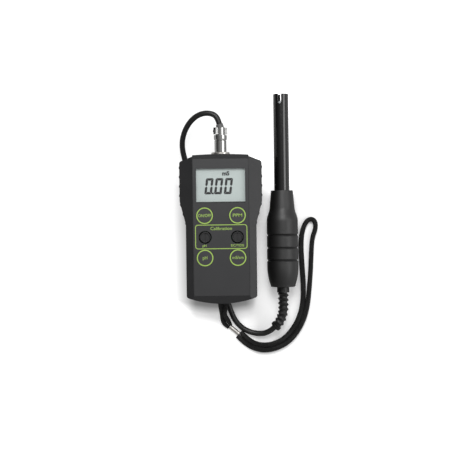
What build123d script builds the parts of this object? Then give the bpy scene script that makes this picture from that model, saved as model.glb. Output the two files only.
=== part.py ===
from build123d import *
import math
import os

# A handheld pH and conductivity monitor, lying on its back on a flat coil of its own
# probe cable, with the probe and the wrist strap beside it on the same surface.
# All sizes are in millimetres. X runs to the right, Y to the connector end, Z up.
# The origin is the middle of the underside of the case and the probe together.

# Case
CASE_L = 145.0
CASE_W = 80.0
LOWER_W = 68.4
CASE_H = 36.0
SEAM_H = 12.0
WALL = 2.2
BACK_T = 2.4
PANEL_W = 54.6
PANEL_T = 2.4
PANEL_STEP = 0.9
WING_ANGLE = 27.0
END_SAG = 0.9
FOOT_SAG = 6.3
SHOULDER_Y = 66.8
GRIP_Y = 26.7
NECK_Y = 4.9
SHOULDER_R = 2.5
SIDE_R = 9.0
FOOT_R = 2.4
BACK_R = 2.0
WING_R = 1.2
NOTCH = 1.4
NOTCH_END = 3.0
TOP_FLAT_Y = 68.0
TOP_BEVEL = 42.0
FOOT_FLAT_Y = -64.8
FOOT_BEVEL = 34.0
LIP_T = 1.0
LIP_H = 2.0
LIP_GAP = 0.15

# Grip ribs, upright half rounds down each side
RIB_R = 3.0
RIB_OUT = 0.6
RIB_PITCH = 9.1
RIB_COUNT = 7
RIB_TOP_Y = 59.9
RIB_LOW_H = 4.0
RIB_HIGH_H = 26.0

# Front panel
OVERLAY_T = 0.4
OVERLAY_W = 53.4
OVERLAY_L = 132.4
OVERLAY_Y = 1.6
OVERLAY_R = 1.5
FIT_GAP = 0.15
WINDOW_W = 47.4
WINDOW_L = 33.2
WINDOW_Y = 41.75
LENS_T = 1.5
KEY_X = 15.9
KEY_TOP_Y = 12.9
KEY_LOW_Y = -27.9
KEY_R = 8.2
KEY_PROUD = 0.15
KEY_TRAVEL = 0.4
KEY_FLANGE = 1.0
KEY_FLANGE_T = 0.8
KEY_FLANGE_GAP = 0.1
TRIM_X = 15.6
TRIM_Y = -8.0
TRIM_WELL_R = 6.3
TRIM_KNOB_R = 5.2
TRIM_KNOB_H = 2.5
TRIM_KNOB_LOW = 0.5
TRIM_DISH_R = 4.1
TRIM_DISH_H = 0.9
TRIM_SLOT_W = 1.4
TRIM_SLOT_H = 0.8
TRIM_SHAFT_R = 2.0
TRIM_BODY = 9.6
TRIM_BODY_H = 4.8
TURN_GAP = 0.05

# Circuit board and what stands on it
BOARD_H = 22.4
BOARD_T = 1.6
BOARD_W = 57.0
BOARD_LOW_Y = -55.0
BOARD_HIGH_Y = 61.0
BOARD_R = 2.0
POST_R = 2.4
POST_SPOTS = [(-23.2, -8.0), (23.2, -8.0), (-21.0, -48.0), (21.0, -48.0)]
BOARD_SCREW_R = 1.1
BOARD_SCREW_L = 7.0
BOARD_SCREW_HEAD_R = 2.1
BOARD_SCREW_HEAD_H = 1.5
HOLDER_W = 54.0
HOLDER_L = 38.0
HOLDER_WALL = 1.8
GLASS_T = 2.8
GLASS_GAP = 0.2
STRIP_W = 2.4
STRIP_L = 46.0
SWITCH_W = 6.0
SWITCH_H = 3.4
PLUNGER_R = 1.7
PLUNGER_DEPTH = 1.2
PLUNGER_OUT = 1.4
CHIPS = [(0.0, 32.0, 12.0, 12.0), (-14.0, 10.0, 8.0, 6.0), (13.0, 12.0, 10.0, 5.0)]
CHIP_T = 1.5

# Case screws and their bosses
BOSS_R = 3.2
BOSS_SPOTS = [(-33.0, 56.0), (33.0, 56.0), (-27.0, -60.0), (27.0, -60.0)]
SCREW_R = 1.45
SCREW_L = 16.0
SCREW_HEAD_R = 2.6
SCREW_HEAD_H = 2.0
SCREW_SINK = 4.2
SCREW_SLOT_W = 0.8
SCREW_SLOT_H = 0.9

# Battery, its box and its sliding door
BOX_W = 27.3
BOX_L = 53.0
BOX_Y = -34.5
BOX_T = 1.5
BOX_ROOF = 21.4
BATTERY_W = 26.4
BATTERY_L = 46.2
BATTERY_H = 17.4
BATTERY_LIFT = 0.3
STUD_R = 2.8
STUD_L = 2.4
STUD_X = 6.35
SNAP_L = 3.2
SNAP_W = 25.0
SNAP_H = 13.0
LEAD_D = 1.3
LEAD_X = 2.2
DOOR_W = 36.0
DOOR_T = 1.8
DOOR_TOP_Y = -6.0
DOOR_GAP = 0.25
DOOR_TRAVEL = 6.0
LEDGE_W = 4.0
LEDGE_H = 4.2
HOOK_W = 1.4
HOOK_L = 7.0
HOOK_T = 0.8
HOOK_SPOTS_Y = [-20.0, -50.0]
HOOK_GAP = 0.25
GRIP_BAR_W = 18.0
GRIP_BAR_L = 1.2
GRIP_BAR_PITCH = 2.4
GRIP_BAR_COUNT = 5
GRIP_BAR_DEPTH = 0.5
GRIP_BAR_Y = -14.0

# Strap pin in a pocket of the bottom end
LUG_X = 1.0
LUG_W = 12.4
LUG_LOW_H = 5.0
LUG_HIGH_H = 11.0
LUG_DEPTH_Y = -64.6
LUG_WALL = 1.4
PIN_R = 1.1
PIN_Y = -70.2
PIN_SEAT = 1.4

# Round connector on the top end, measured out from the end wall
SOCKET_X = 0.3
SOCKET_H = 21.5
FLANGE_R = 8.9
FLANGE_T = 2.0
BARREL_R = 5.0
BARREL_END = 9.0
BARREL_BORE_R = 4.0
SOCKET_BODY_R = 5.7
SOCKET_BODY_L = 9.0
SOCKET_FLOOR = -2.0
NUT_FLATS = 14.4
NUT_T = 2.4
NUT_GAP = 0.1
CONTACT_R = 0.5
CONTACT_RING_R = 2.1
CONTACT_COUNT = 6
CONTACT_END = 4.0
RING_R = 5.8
RING_START = 2.3
RING_END = 13.6
RING_SHOULDER = 11.7
NECK_R = 4.25
NECK_GAP = 0.1
PLUG_FLANGE_R = 4.9
PLUG_FLANGE_START = 9.3
PLUG_FLANGE_END = 11.4
PLUG_INSERT_R = 3.85
PLUG_CORE_R = 3.2
COLLAR_R = 6.35
COLLAR_START = 13.9
COLLAR_TAPER = 1.3
COLLAR_END = 18.8
CLAMP_START = 19.6
CLAMP_END = 26.2
CLAMP_R = 4.5
CLAMP_BORE_R = 2.9
CLAMP_EAR_X = 6.5
CLAMP_EAR_T = 2.0
CLAMP_SPLIT = 0.3
CLAMP_ROLL = 32.0
CLAMP_SCREW_X = 5.2
CLAMP_SCREW_R = 0.8
CLAMP_SCREW_HEAD_R = 1.25
CLAMP_SCREW_HEAD_H = 1.1
SLEEVE_R = 3.55
SLEEVE_CORE_R = 2.75
SLEEVE_START = 14.5
SLEEVE_BASE = 26.3
SLEEVE_L = 3.3
SLEEVE_TILT = 16.0

# Probe, measured up from the bottom end of its handle
PROBE_X = 60.2
HANDLE_END_Y = -58.0
HANDLE_L = 95.0
HANDLE_R = 15.35
HANDLE_TOP_R = 10.8
HANDLE_NECK_R = 12.35
HANDLE_NECK_U = 78.0
HANDLE_BAND_U = 64.5
HANDLE_BELLY_U = 20.0
HANDLE_BELLY_R = 14.6
HANDLE_BELLY_MID_U = 11.0
HANDLE_FOOT_R = 12.2
HANDLE_FOOT_U = 1.6
GROOVES_U = [51.2, 38.5, 26.3]
GROOVE_DEPTH = 1.1
GROOVE_HALF = 1.3
GROOVE_ROUND = 1.0
HANDLE_BORE_R = 9.0
HANDLE_FLOOR = 4.0
HANDLE_BORE_U = 78.0
SHAFT_R = 7.5
SHAFT_WALL = 1.4
SHAFT_SINK = 14.0
SHAFT_SPIGOT_R = 7.3
SHAFT_STEP = 0.3
SHAFT_L = 109.2
SHAFT_TIP_R = 0.6
TIP_SLOT_W = 3.2
TIP_SLOT_L = 9.8
TIP_SLOT_TURN = 12.0
PRESS_GAP = 0.02
RING_CORD_R = 0.62
RING_SEATS_U = [83.5, 88.5]
STICK_GAP = 0.1
STICK_SINK = 12.0
STICK_START_U = 70.0
BULB_R = 2.7
BULB_STEM_R = 1.5
BULB_OUT = 5.4
SENSOR_R = 1.1
SENSOR_RING_R = 3.9
PIN_OUT = 4.2
THERMO_OUT = 5.0
JUNCTION_OUT = 0.4
PROBE_BOARD_W = 17.2
PROBE_BOARD_T = 1.4
PROBE_BOARD_LOW_U = 14.0
PROBE_BOARD_HIGH_U = 66.0

# Spiral strain relief at the handle's bottom end
RELIEF_SPIGOT_R = 5.0
RELIEF_SPIGOT_L = 8.0
RELIEF_COLLAR_R = 6.1
RELIEF_COLLAR_L = 5.4
RELIEF_STRAIGHT = 20.0
RELIEF_END = (52.3, -97.2, 11.0)
RELIEF_CORE_R = 3.9
RELIEF_RIB_R = 5.6
RELIEF_TIP_R = 5.2
RELIEF_RIB_T = 1.5
RELIEF_RIB_BEVEL = 1.17
RELIEF_RIB_TURN = 37.0
RELIEF_PITCH = 4.6
RELIEF_LEAN = 12.0
RELIEF_TIP_RING_L = 2.2

# Probe cable, one metre long
CABLE_D = 5.5
COIL_Y = 14.0
COIL_R = 35.4
COIL_LANES = 3
COIL_LAYERS = 2
COIL_CLEAR = 0.3
CABLE_UPPER_ROUTE = [
    (-0.6, 102.2, 32.8),
    (-2.1, 108.2, 32.8),
    (-6.9, 112.4, 32.2),
    (-14.9, 113.4, 30.8),
    (-22.8, 110.9, 27.8),
    (-29.8, 104.9, 24.0),
    (-35.0, 96.3, 19.4),
    (-37.6, 87.0, 14.8),
    (-37.3, 77.4, 10.8),
    (-34.8, 67.6, 8.3),
    (-32.9, 56.0, 8.25),
    (-33.4, 42.0, 8.25),
    (-32.8, 28.0, 8.25),
    (-32.6, 15.0, 8.25),
]
CABLE_LOWER_ROUTE = [
    (-28.3, -2.3, 2.75),
    (-22.0, -13.4, 2.75),
    (-15.8, -25.6, 2.75),
    (-10.4, -38.0, 2.75),
    (-4.7, -50.4, 2.75),
    (0.6, -62.0, 2.75),
    (5.4, -72.6, 2.75),
    (9.5, -82.6, 2.75),
    (15.3, -92.5, 2.75),
    (23.7, -100.5, 2.75),
    (34.8, -104.7, 4.2),
    (45.6, -103.55, 7.27),
    (52.3, -97.2, 11.0),
]

# Wrist strap, a round cord doubled through a crimped ferrule
LUG_CORD_D = 4.1
WRIST_CORD_D = 4.7
FERRULE_R = 2.2
FERRULE_START = (7.2, -97.2, 2.35)
FERRULE_END = (16.2, -104.7, 2.35)
LUG_TURN_R = 3.2
LUG_CORD_ROUTE = [
    (5.8, -98.9, 2.35),
    (1.3, -95.1, 2.5),
    (-1.2, -89.6, 5.2),
    (-1.4, -83.6, 11.6),
    (-2.1, -78.3, 17.6),
    (-2.2, -72.4, 19.3),
    (-2.2, -67.0, 19.3),
    (4.2, -67.0, 19.3),
    (4.2, -72.4, 19.3),
    (3.7, -78.3, 19.2),
    (2.4, -83.9, 15.6),
    (3.6, -88.2, 9.6),
    (4.6, -92.2, 4.2),
    (8.6, -95.5, 2.35),
]
WRIST_CORD_ROUTE = [
    (14.6, -106.6, 2.4),
    (18.8, -110.4, 2.4),
    (25.8, -116.8, 2.4),
    (37.0, -121.8, 2.4),
    (49.5, -120.8, 2.4),
    (61.5, -114.0, 2.4),
    (71.8, -104.2, 2.4),
    (79.8, -91.6, 2.4),
    (84.6, -76.5, 2.4),
    (87.1, -59.5, 2.4),
    (88.6, -42.0, 2.4),
    (89.4, -25.0, 2.4),
    (90.2, -10.0, 2.4),
    (94.0, 0.5, 2.4),
    (93.2, 8.6, 2.4),
    (87.2, 9.9, 2.4),
    (82.5, 3.2, 2.4),
    (79.9, -9.0, 2.4),
    (80.0, -24.0, 2.4),
    (80.9, -41.0, 2.4),
    (81.2, -58.0, 2.4),
    (79.2, -74.5, 2.4),
    (74.6, -88.6, 2.4),
    (67.2, -100.6, 2.4),
    (57.6, -109.9, 2.4),
    (47.2, -115.5, 2.4),
    (37.0, -116.4, 2.4),
    (27.6, -112.6, 2.4),
    (21.8, -107.2, 2.4),
    (17.8, -102.8, 2.4),
]

# Places worked out from the sizes above
COIL_H = COIL_LAYERS * CABLE_D
BACK_Z = COIL_H + COIL_CLEAR
CASE_X = (CASE_W / 2 + RIB_OUT - PROBE_X - HANDLE_R) / 2
TIP_Y = HANDLE_END_Y + HANDLE_L - SHAFT_SINK + SHAFT_L
CASE_Y = (CASE_L / 2 - TIP_Y) / 2
TOP_Y = CASE_L / 2
HALF_W = CASE_W / 2
HALF_PANEL = PANEL_W / 2
CORNER_Y = TOP_Y - END_SAG
FOOT_Y = -TOP_Y + FOOT_SAG
PANEL_TOP = CASE_H - OVERLAY_T
PANEL_LOW = PANEL_TOP - PANEL_T
BOARD_TOP = BOARD_H + BOARD_T
KEY_SPOTS = {
    "on_off": (-KEY_X, KEY_TOP_Y),
    "ppm": (KEY_X, KEY_TOP_Y),
    "ph": (-KEY_X, KEY_LOW_Y),
    "ms": (KEY_X, KEY_LOW_Y),
}
TRIM_SPOTS = {"ph": (-TRIM_X, TRIM_Y), "ms": (TRIM_X, TRIM_Y)}

end_view = Plane(origin=(CASE_X, CASE_Y, BACK_Z), x_dir=(1, 0, 0), z_dir=(0, -1, 0))
side_view = Plane(origin=(CASE_X, CASE_Y, BACK_Z), x_dir=(0, 1, 0), z_dir=(1, 0, 0))


def level(height):
    """Level plane at a height above the back of the case, centred on the case."""
    return Plane(origin=(CASE_X, CASE_Y, BACK_Z + height))


def place(spot):
    """Point of a cord's route, given from the case's centre, in the part's frame."""
    return Vector(CASE_X + spot[0], CASE_Y + spot[1], spot[2])


def pillars(spots, radius, low, high, mode=Mode.ADD):
    """Round pillars or holes at the spots, between two heights."""
    with BuildSketch(level(low)) as ends:
        with Locations(*spots):
            Circle(radius)
    extrude(ends.sketch, amount=high - low, mode=mode)


def plates(spots, width, length, low, high, mode=Mode.ADD):
    """Square plates or holes at the spots, between two heights."""
    with BuildSketch(level(low)) as ends:
        with Locations(*spots):
            Rectangle(width, length)
    extrude(ends.sketch, amount=high - low, mode=mode)


# Outline of the case seen from above
with BuildSketch() as case_plan:
    with BuildLine():
        ThreePointArc((-HALF_PANEL, CORNER_Y), (0, TOP_Y), (HALF_PANEL, CORNER_Y))
        right_side = FilletPolyline(
            (HALF_PANEL, CORNER_Y),
            (HALF_W, SHOULDER_Y),
            (HALF_W, GRIP_Y),
            (LOWER_W / 2, NECK_Y),
            (LOWER_W / 2, FOOT_Y),
            radius=[SHOULDER_R, SIDE_R, SIDE_R],
        )
        mirror(right_side, about=Plane.YZ)
        ThreePointArc((-LOWER_W / 2, FOOT_Y), (0, -TOP_Y), (LOWER_W / 2, FOOT_Y))
    make_face()
    fillet(case_plan.vertices().group_by(Axis.Y)[0], FOOT_R)


def block(inset, low, high):
    """The case outline drawn in by inset, between two heights."""
    with BuildPart() as body:
        with BuildSketch(level(low)):
            add(case_plan.sketch)
            if inset > 0:
                offset(amount=-inset, mode=Mode.REPLACE)
        extrude(amount=high - low)
    return body.part


def seam_lip(inset, low, high):
    """Ring that follows the outline at an inset, one lip thick."""
    with BuildPart() as ring:
        add(block(inset, low, high))
        add(block(inset + LIP_T, low, high), mode=Mode.SUBTRACT)
    return ring.part


def cut_wings_and_ends(wall, top):
    """Trim the block being built to the sloping wings and the bevelled ends."""
    slope = math.tan(math.radians(WING_ANGLE))
    start = CASE_H - PANEL_STEP - wall / math.cos(math.radians(WING_ANGLE))
    reach = HALF_W + 5
    with BuildSketch(end_view) as above_wings:
        with BuildLine():
            Polyline(
                (HALF_PANEL, start),
                (reach, start - (reach - HALF_PANEL) * slope),
                (reach, CASE_H + 1),
                (HALF_PANEL, CASE_H + 1),
                close=True,
            )
        make_face()
        mirror(about=Plane.YZ)
    extrude(above_wings.sketch, amount=CASE_L, both=True, mode=Mode.SUBTRACT)
    with BuildSketch(side_view) as above_ends:
        for flat_y, end_y, angle in (
            (TOP_FLAT_Y, TOP_Y + 2, TOP_BEVEL),
            (FOOT_FLAT_Y, -TOP_Y - 2, FOOT_BEVEL),
        ):
            bevel = math.radians(angle)
            edge = CASE_H - wall / math.cos(bevel)
            with BuildLine():
                Polyline(
                    (flat_y, edge),
                    (end_y, edge - abs(end_y - flat_y) * math.tan(bevel)),
                    (end_y, CASE_H + 1),
                    (flat_y, CASE_H + 1),
                    close=True,
                )
            make_face()
    extrude(above_ends.sketch, amount=CASE_W, both=True, mode=Mode.SUBTRACT)


def rib_spots():
    """Centres of the grip ribs on the right side, just inside the outline."""
    taper = Vector(LOWER_W / 2 - HALF_W, NECK_Y - GRIP_Y).normalized()
    spots = []
    for count in range(RIB_COUNT):
        y = RIB_TOP_Y - count * RIB_PITCH
        if y > GRIP_Y:
            spots.append((HALF_W - RIB_R + RIB_OUT, y))
        else:
            side = HALF_W - (GRIP_Y - y) * (HALF_W - LOWER_W / 2) / (GRIP_Y - NECK_Y)
            inward = RIB_R - RIB_OUT
            spots.append((side + taper.Y * inward, y - taper.X * inward))
    return spots


def grip_ribs(low, high):
    """Add the grip ribs of both sides to the block being built."""
    for x, y in rib_spots():
        pillars([(x, y), (-x, y)], RIB_R, low, high)


def shoulder_notches(low, high):
    """Draw the shoulders in beside the raised panel, on the block being built."""
    low_y = SHOULDER_Y - NOTCH - NOTCH_END
    reach = HALF_W + RIB_OUT + 1
    with BuildSketch(level(low)) as strips:
        with BuildLine():
            FilletPolyline(
                (HALF_PANEL, CORNER_Y - NOTCH),
                (HALF_W, SHOULDER_Y - NOTCH),
                (HALF_W, low_y),
                radius=SHOULDER_R,
            )
            Polyline(
                (HALF_W, low_y),
                (reach, low_y),
                (reach, TOP_Y + 1),
                (HALF_PANEL, TOP_Y + 1),
                (HALF_PANEL, CORNER_Y - NOTCH),
            )
        make_face()
        mirror(about=Plane.YZ)
    extrude(strips.sketch, amount=high - low, mode=Mode.SUBTRACT)


# Front cover, outside form and the hollow inside it
with BuildPart() as front_form:
    add(block(0, SEAM_H, CASE_H))
    cut_wings_and_ends(0, CASE_H)
    grip_ribs(SEAM_H, RIB_HIGH_H)
    shoulder_notches(SEAM_H, CASE_H)

with BuildPart() as front_hollow:
    add(block(WALL, SEAM_H - 1, PANEL_LOW))
    cut_wings_and_ends(WALL, PANEL_LOW)
    pillars(BOSS_SPOTS, BOSS_R, SEAM_H - 1, CASE_H, mode=Mode.SUBTRACT)
    pillars(POST_SPOTS, POST_R, BOARD_TOP, CASE_H, mode=Mode.SUBTRACT)

with BuildPart() as front_cover:
    add(front_form.part)
    add(front_hollow.part, mode=Mode.SUBTRACT)
    with BuildSketch(level(PANEL_TOP)):
        with Locations((0, OVERLAY_Y)):
            RectangleRounded(OVERLAY_W + 2 * FIT_GAP, OVERLAY_L + 2 * FIT_GAP, OVERLAY_R)
    extrude(amount=CASE_H, mode=Mode.SUBTRACT)
    plates([(0, WINDOW_Y)], WINDOW_W, WINDOW_L, PANEL_LOW - 1, CASE_H, mode=Mode.SUBTRACT)
    pillars(KEY_SPOTS.values(), KEY_R + FIT_GAP, PANEL_LOW - 1, CASE_H, mode=Mode.SUBTRACT)
    pillars(TRIM_SPOTS.values(), TRIM_WELL_R, PANEL_LOW - 1, CASE_H, mode=Mode.SUBTRACT)
    pillars(BOSS_SPOTS, SCREW_R, SEAM_H - 1, SCREW_SINK + SCREW_L + 1, mode=Mode.SUBTRACT)
    pillars(POST_SPOTS, BOARD_SCREW_R, BOARD_TOP - 1, BOARD_TOP + BOARD_SCREW_L, mode=Mode.SUBTRACT)
    with BuildSketch(end_view.offset(-TOP_Y - 2)):
        with Locations((SOCKET_X, SOCKET_H)):
            Circle(SOCKET_BODY_R + 2 * TURN_GAP)
    extrude(amount=WALL + 4, mode=Mode.SUBTRACT)

# Rear cover with its battery box, door rails, bosses, seam lip and strap pocket
with BuildPart() as rear_form:
    add(block(0, 0, SEAM_H))
    fillet(rear_form.faces().sort_by(Axis.Z)[0].edges(), BACK_R)
    grip_ribs(RIB_LOW_H, SEAM_H)
    shoulder_notches(0, SEAM_H)

DOOR_LOW_Y = -TOP_Y - 1
DOOR_MID_Y = (DOOR_TOP_Y + DOOR_LOW_Y) / 2
DOOR_L = DOOR_TOP_Y - DOOR_LOW_Y
LEDGE_TOP_Y = DOOR_TOP_Y + LEDGE_W
LUG_BLOCK_Y = (LUG_DEPTH_Y + LUG_WALL - TOP_Y) / 2
LUG_BLOCK_L = LUG_DEPTH_Y + LUG_WALL + TOP_Y
HOOK_CENTRES_X = (DOOR_W / 2 + HOOK_W / 2, -DOOR_W / 2 - HOOK_W / 2)

with BuildPart() as rear_hollow:
    add(block(WALL, BACK_T, SEAM_H + 1))
    pillars(BOSS_SPOTS, BOSS_R + 1.2, BACK_T, SEAM_H + 1, mode=Mode.SUBTRACT)
    plates(
        [(0, (LEDGE_TOP_Y - TOP_Y) / 2)],
        DOOR_W + 2 * LEDGE_W,
        LEDGE_TOP_Y + TOP_Y,
        BACK_T,
        LEDGE_H,
        mode=Mode.SUBTRACT,
    )
    plates(
        [(LUG_X, LUG_BLOCK_Y)],
        LUG_W + 2 * LUG_WALL,
        LUG_BLOCK_L,
        BACK_T,
        SEAM_H + 1,
        mode=Mode.SUBTRACT,
    )

with BuildPart() as rear_cover:
    add(rear_form.part)
    add(rear_hollow.part, mode=Mode.SUBTRACT)
    add(seam_lip(WALL - 0.2, SEAM_H - LIP_H, SEAM_H))
    add(seam_lip(WALL + LIP_GAP, SEAM_H - LIP_H, SEAM_H + LIP_H))
    plates([(0, BOX_Y)], BOX_W + 2 * BOX_T, BOX_L + 2 * BOX_T, BACK_T, BOX_ROOF)
    plates([(0, BOX_Y)], BOX_W, BOX_L, -1, BOX_ROOF - BOX_T, mode=Mode.SUBTRACT)
    plates([(0, BOX_Y + BOX_L / 2)], 3 * LEAD_X, 4 * BOX_T, BOX_ROOF - 4, BOX_ROOF + 1, mode=Mode.SUBTRACT)
    plates(
        [(0, DOOR_MID_Y)],
        DOOR_W + 2 * DOOR_GAP,
        DOOR_L + 2 * DOOR_GAP,
        -1,
        DOOR_T + DOOR_GAP,
        mode=Mode.SUBTRACT,
    )
    for hook_y in HOOK_SPOTS_Y:
        slide_y = hook_y - DOOR_TRAVEL / 2
        for hook_x in HOOK_CENTRES_X:
            plates(
                [(hook_x, slide_y)],
                HOOK_W + 2 * DOOR_GAP,
                HOOK_L + DOOR_TRAVEL + 2 * DOOR_GAP,
                DOOR_T - HOOK_T - HOOK_GAP,
                DOOR_T + DOOR_GAP,
                mode=Mode.SUBTRACT,
            )
    pillars(BOSS_SPOTS, SCREW_R + FIT_GAP, -1, SEAM_H + 1, mode=Mode.SUBTRACT)
    pillars(BOSS_SPOTS, SCREW_HEAD_R + FIT_GAP, -1, SCREW_SINK, mode=Mode.SUBTRACT)
    with BuildSketch(end_view.offset(TOP_Y + 2)):
        with Locations((LUG_X, (LUG_LOW_H + LUG_HIGH_H) / 2)):
            Rectangle(LUG_W, LUG_HIGH_H - LUG_LOW_H)
    extrude(amount=-(TOP_Y + 2 + LUG_DEPTH_Y), mode=Mode.SUBTRACT)
    pillars([(LUG_X, PIN_Y)], PIN_R + TURN_GAP, LUG_LOW_H - PIN_SEAT, SEAM_H + 1, mode=Mode.SUBTRACT)

# Battery door, cut from the same outside form, with two hooks on each side
with BuildPart() as battery_door:
    add(rear_form.part)
    plates([(0, DOOR_MID_Y)], DOOR_W, DOOR_L, 0, DOOR_T, mode=Mode.INTERSECT)
    for hook_y in HOOK_SPOTS_Y:
        for hook_x in HOOK_CENTRES_X:
            plates([(hook_x, hook_y)], HOOK_W, HOOK_L, DOOR_T - HOOK_T, DOOR_T)
    with BuildSketch(level(0)):
        with Locations((0, GRIP_BAR_Y)):
            with GridLocations(0, GRIP_BAR_PITCH, 1, GRIP_BAR_COUNT):
                SlotOverall(GRIP_BAR_W, GRIP_BAR_L)
    extrude(amount=GRIP_BAR_DEPTH, mode=Mode.SUBTRACT)

with BuildPart() as strap_pin:
    pillars([(LUG_X, PIN_Y)], PIN_R, LUG_LOW_H - PIN_SEAT, SEAM_H)

# Battery and its snap
BATTERY_Z = DOOR_T + BATTERY_LIFT
BATTERY_LOW_Y = BOX_Y - BOX_L / 2 + 0.3
BATTERY_Y = BATTERY_LOW_Y + BATTERY_L / 2
BATTERY_END_Y = BATTERY_LOW_Y + BATTERY_L
SNAP_Y = BATTERY_END_Y + SNAP_L / 2 + 0.1
STUD_H = BATTERY_Z + BATTERY_H / 2

with BuildPart() as battery:
    with BuildSketch(level(BATTERY_Z)):
        with Locations((0, BATTERY_Y)):
            RectangleRounded(BATTERY_W, BATTERY_L, 2)
    extrude(amount=BATTERY_H)
    with BuildSketch(end_view.offset(-BATTERY_END_Y)):
        with Locations((STUD_X, STUD_H), (-STUD_X, STUD_H)):
            Circle(STUD_R)
    extrude(amount=-STUD_L)

with BuildPart() as battery_snap:
    plates([(0, SNAP_Y)], SNAP_W, SNAP_L, STUD_H - SNAP_H / 2, STUD_H + SNAP_H / 2)
    with BuildSketch(end_view.offset(-BATTERY_END_Y)):
        with Locations((STUD_X, STUD_H), (-STUD_X, STUD_H)):
            Circle(STUD_R + FIT_GAP)
    extrude(amount=-(STUD_L + FIT_GAP), mode=Mode.SUBTRACT)

LEAD_Y = SNAP_Y + SNAP_L / 2
LEAD_H = BOX_ROOF - 2.6
with BuildPart() as battery_leads:
    for lead_x in (-LEAD_X, LEAD_X):
        with BuildLine() as lead_route:
            FilletPolyline(
                (CASE_X + lead_x / 2, CASE_Y + LEAD_Y, BACK_Z + STUD_H + 4),
                (CASE_X + lead_x / 2, CASE_Y + LEAD_Y + 1.4, BACK_Z + STUD_H + 4),
                (CASE_X + lead_x, CASE_Y + LEAD_Y + 2.2, BACK_Z + LEAD_H),
                (CASE_X + lead_x, CASE_Y + LEAD_Y + 11, BACK_Z + LEAD_H + 0.2),
                (CASE_X + lead_x, CASE_Y + LEAD_Y + 11, BACK_Z + BOARD_H),
                radius=[0.7, 0.8, 1.2],
            )
        with BuildSketch(lead_route.line ^ 0):
            Circle(LEAD_D / 2)
        sweep(path=lead_route.line)

# Circuit board, display stack, switches and trimmers
with BuildPart() as circuit_board:
    with BuildSketch(level(BOARD_H)):
        with Locations((0, (BOARD_LOW_Y + BOARD_HIGH_Y) / 2)):
            RectangleRounded(BOARD_W, BOARD_HIGH_Y - BOARD_LOW_Y, BOARD_R)
        with Locations(*POST_SPOTS):
            Circle(BOARD_SCREW_R + FIT_GAP, mode=Mode.SUBTRACT)
    extrude(amount=BOARD_T)

with BuildPart() as board_chips:
    for chip_x, chip_y, chip_w, chip_l in CHIPS:
        plates([(chip_x, chip_y)], chip_w, chip_l, BOARD_H - CHIP_T, BOARD_H)

with BuildPart() as board_screws:
    pillars(POST_SPOTS, BOARD_SCREW_R - TURN_GAP, BOARD_H - 1, BOARD_TOP + BOARD_SCREW_L - 1)
    pillars(POST_SPOTS, BOARD_SCREW_HEAD_R, BOARD_H - BOARD_SCREW_HEAD_H, BOARD_H)
    plates(
        POST_SPOTS,
        SCREW_SLOT_W,
        3 * BOARD_SCREW_HEAD_R,
        BOARD_H - BOARD_SCREW_HEAD_H - 1,
        BOARD_H - SCREW_SLOT_H,
        mode=Mode.SUBTRACT,
    )

HOLDER_TOP = PANEL_LOW - KEY_FLANGE_GAP
GLASS_TOP = PANEL_LOW - GLASS_GAP
GLASS_W = HOLDER_W - 2 * HOLDER_WALL
GLASS_L = HOLDER_L - 2 * HOLDER_WALL
with BuildPart() as display_holder:
    plates([(0, WINDOW_Y)], HOLDER_W, HOLDER_L, BOARD_TOP, HOLDER_TOP)
    plates([(0, WINDOW_Y)], GLASS_W, GLASS_L, BOARD_TOP - 1, HOLDER_TOP + 1, mode=Mode.SUBTRACT)

with BuildPart() as display_glass:
    plates([(0, WINDOW_Y)], GLASS_W - GLASS_GAP, GLASS_L - GLASS_GAP, GLASS_TOP - GLASS_T, GLASS_TOP)

with BuildPart() as contact_strips:
    strip_y = GLASS_L / 2 - STRIP_W
    plates(
        [(0, WINDOW_Y + strip_y), (0, WINDOW_Y - strip_y)],
        STRIP_L,
        STRIP_W,
        BOARD_TOP,
        GLASS_TOP - GLASS_T,
    )

with BuildPart() as window_lens:
    plates([(0, WINDOW_Y)], WINDOW_W - 0.1, WINDOW_L - 0.1, PANEL_LOW, PANEL_LOW + LENS_T)

with BuildPart() as panel_overlay:
    with BuildSketch(level(PANEL_TOP)):
        with Locations((0, OVERLAY_Y)):
            RectangleRounded(OVERLAY_W, OVERLAY_L, OVERLAY_R)
        with Locations((0, WINDOW_Y)):
            Rectangle(WINDOW_W, WINDOW_L, mode=Mode.SUBTRACT)
        with Locations(*KEY_SPOTS.values()):
            Circle(KEY_R + FIT_GAP, mode=Mode.SUBTRACT)
        with Locations(*TRIM_SPOTS.values()):
            Circle(TRIM_WELL_R, mode=Mode.SUBTRACT)
    extrude(amount=OVERLAY_T)

SWITCH_TOP = BOARD_TOP + SWITCH_H
with BuildPart() as key_switches:
    plates(KEY_SPOTS.values(), SWITCH_W, SWITCH_W, BOARD_TOP, SWITCH_TOP)
    pillars(
        KEY_SPOTS.values(),
        PLUNGER_R + FIT_GAP,
        SWITCH_TOP - PLUNGER_DEPTH - KEY_TRAVEL - FIT_GAP,
        SWITCH_TOP + 1,
        mode=Mode.SUBTRACT,
    )

KEY_FLANGE_TOP = PANEL_LOW - KEY_FLANGE_GAP
KEY_FLANGE_LOW = KEY_FLANGE_TOP - KEY_FLANGE_T
PLUNGER_TOP = SWITCH_TOP + PLUNGER_OUT


def key_cap(spot):
    """Round key with a retaining flange and a stem that stands on its plunger."""
    with BuildPart() as cap:
        pillars([spot], KEY_R, KEY_FLANGE_LOW, CASE_H + KEY_PROUD)
        fillet(cap.edges().group_by(Axis.Z)[-1], KEY_PROUD * 2)
        pillars([spot], KEY_R + KEY_FLANGE, KEY_FLANGE_LOW, KEY_FLANGE_TOP)
        pillars([spot], PLUNGER_R, PLUNGER_TOP, KEY_FLANGE_LOW)
    return cap.part


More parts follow.
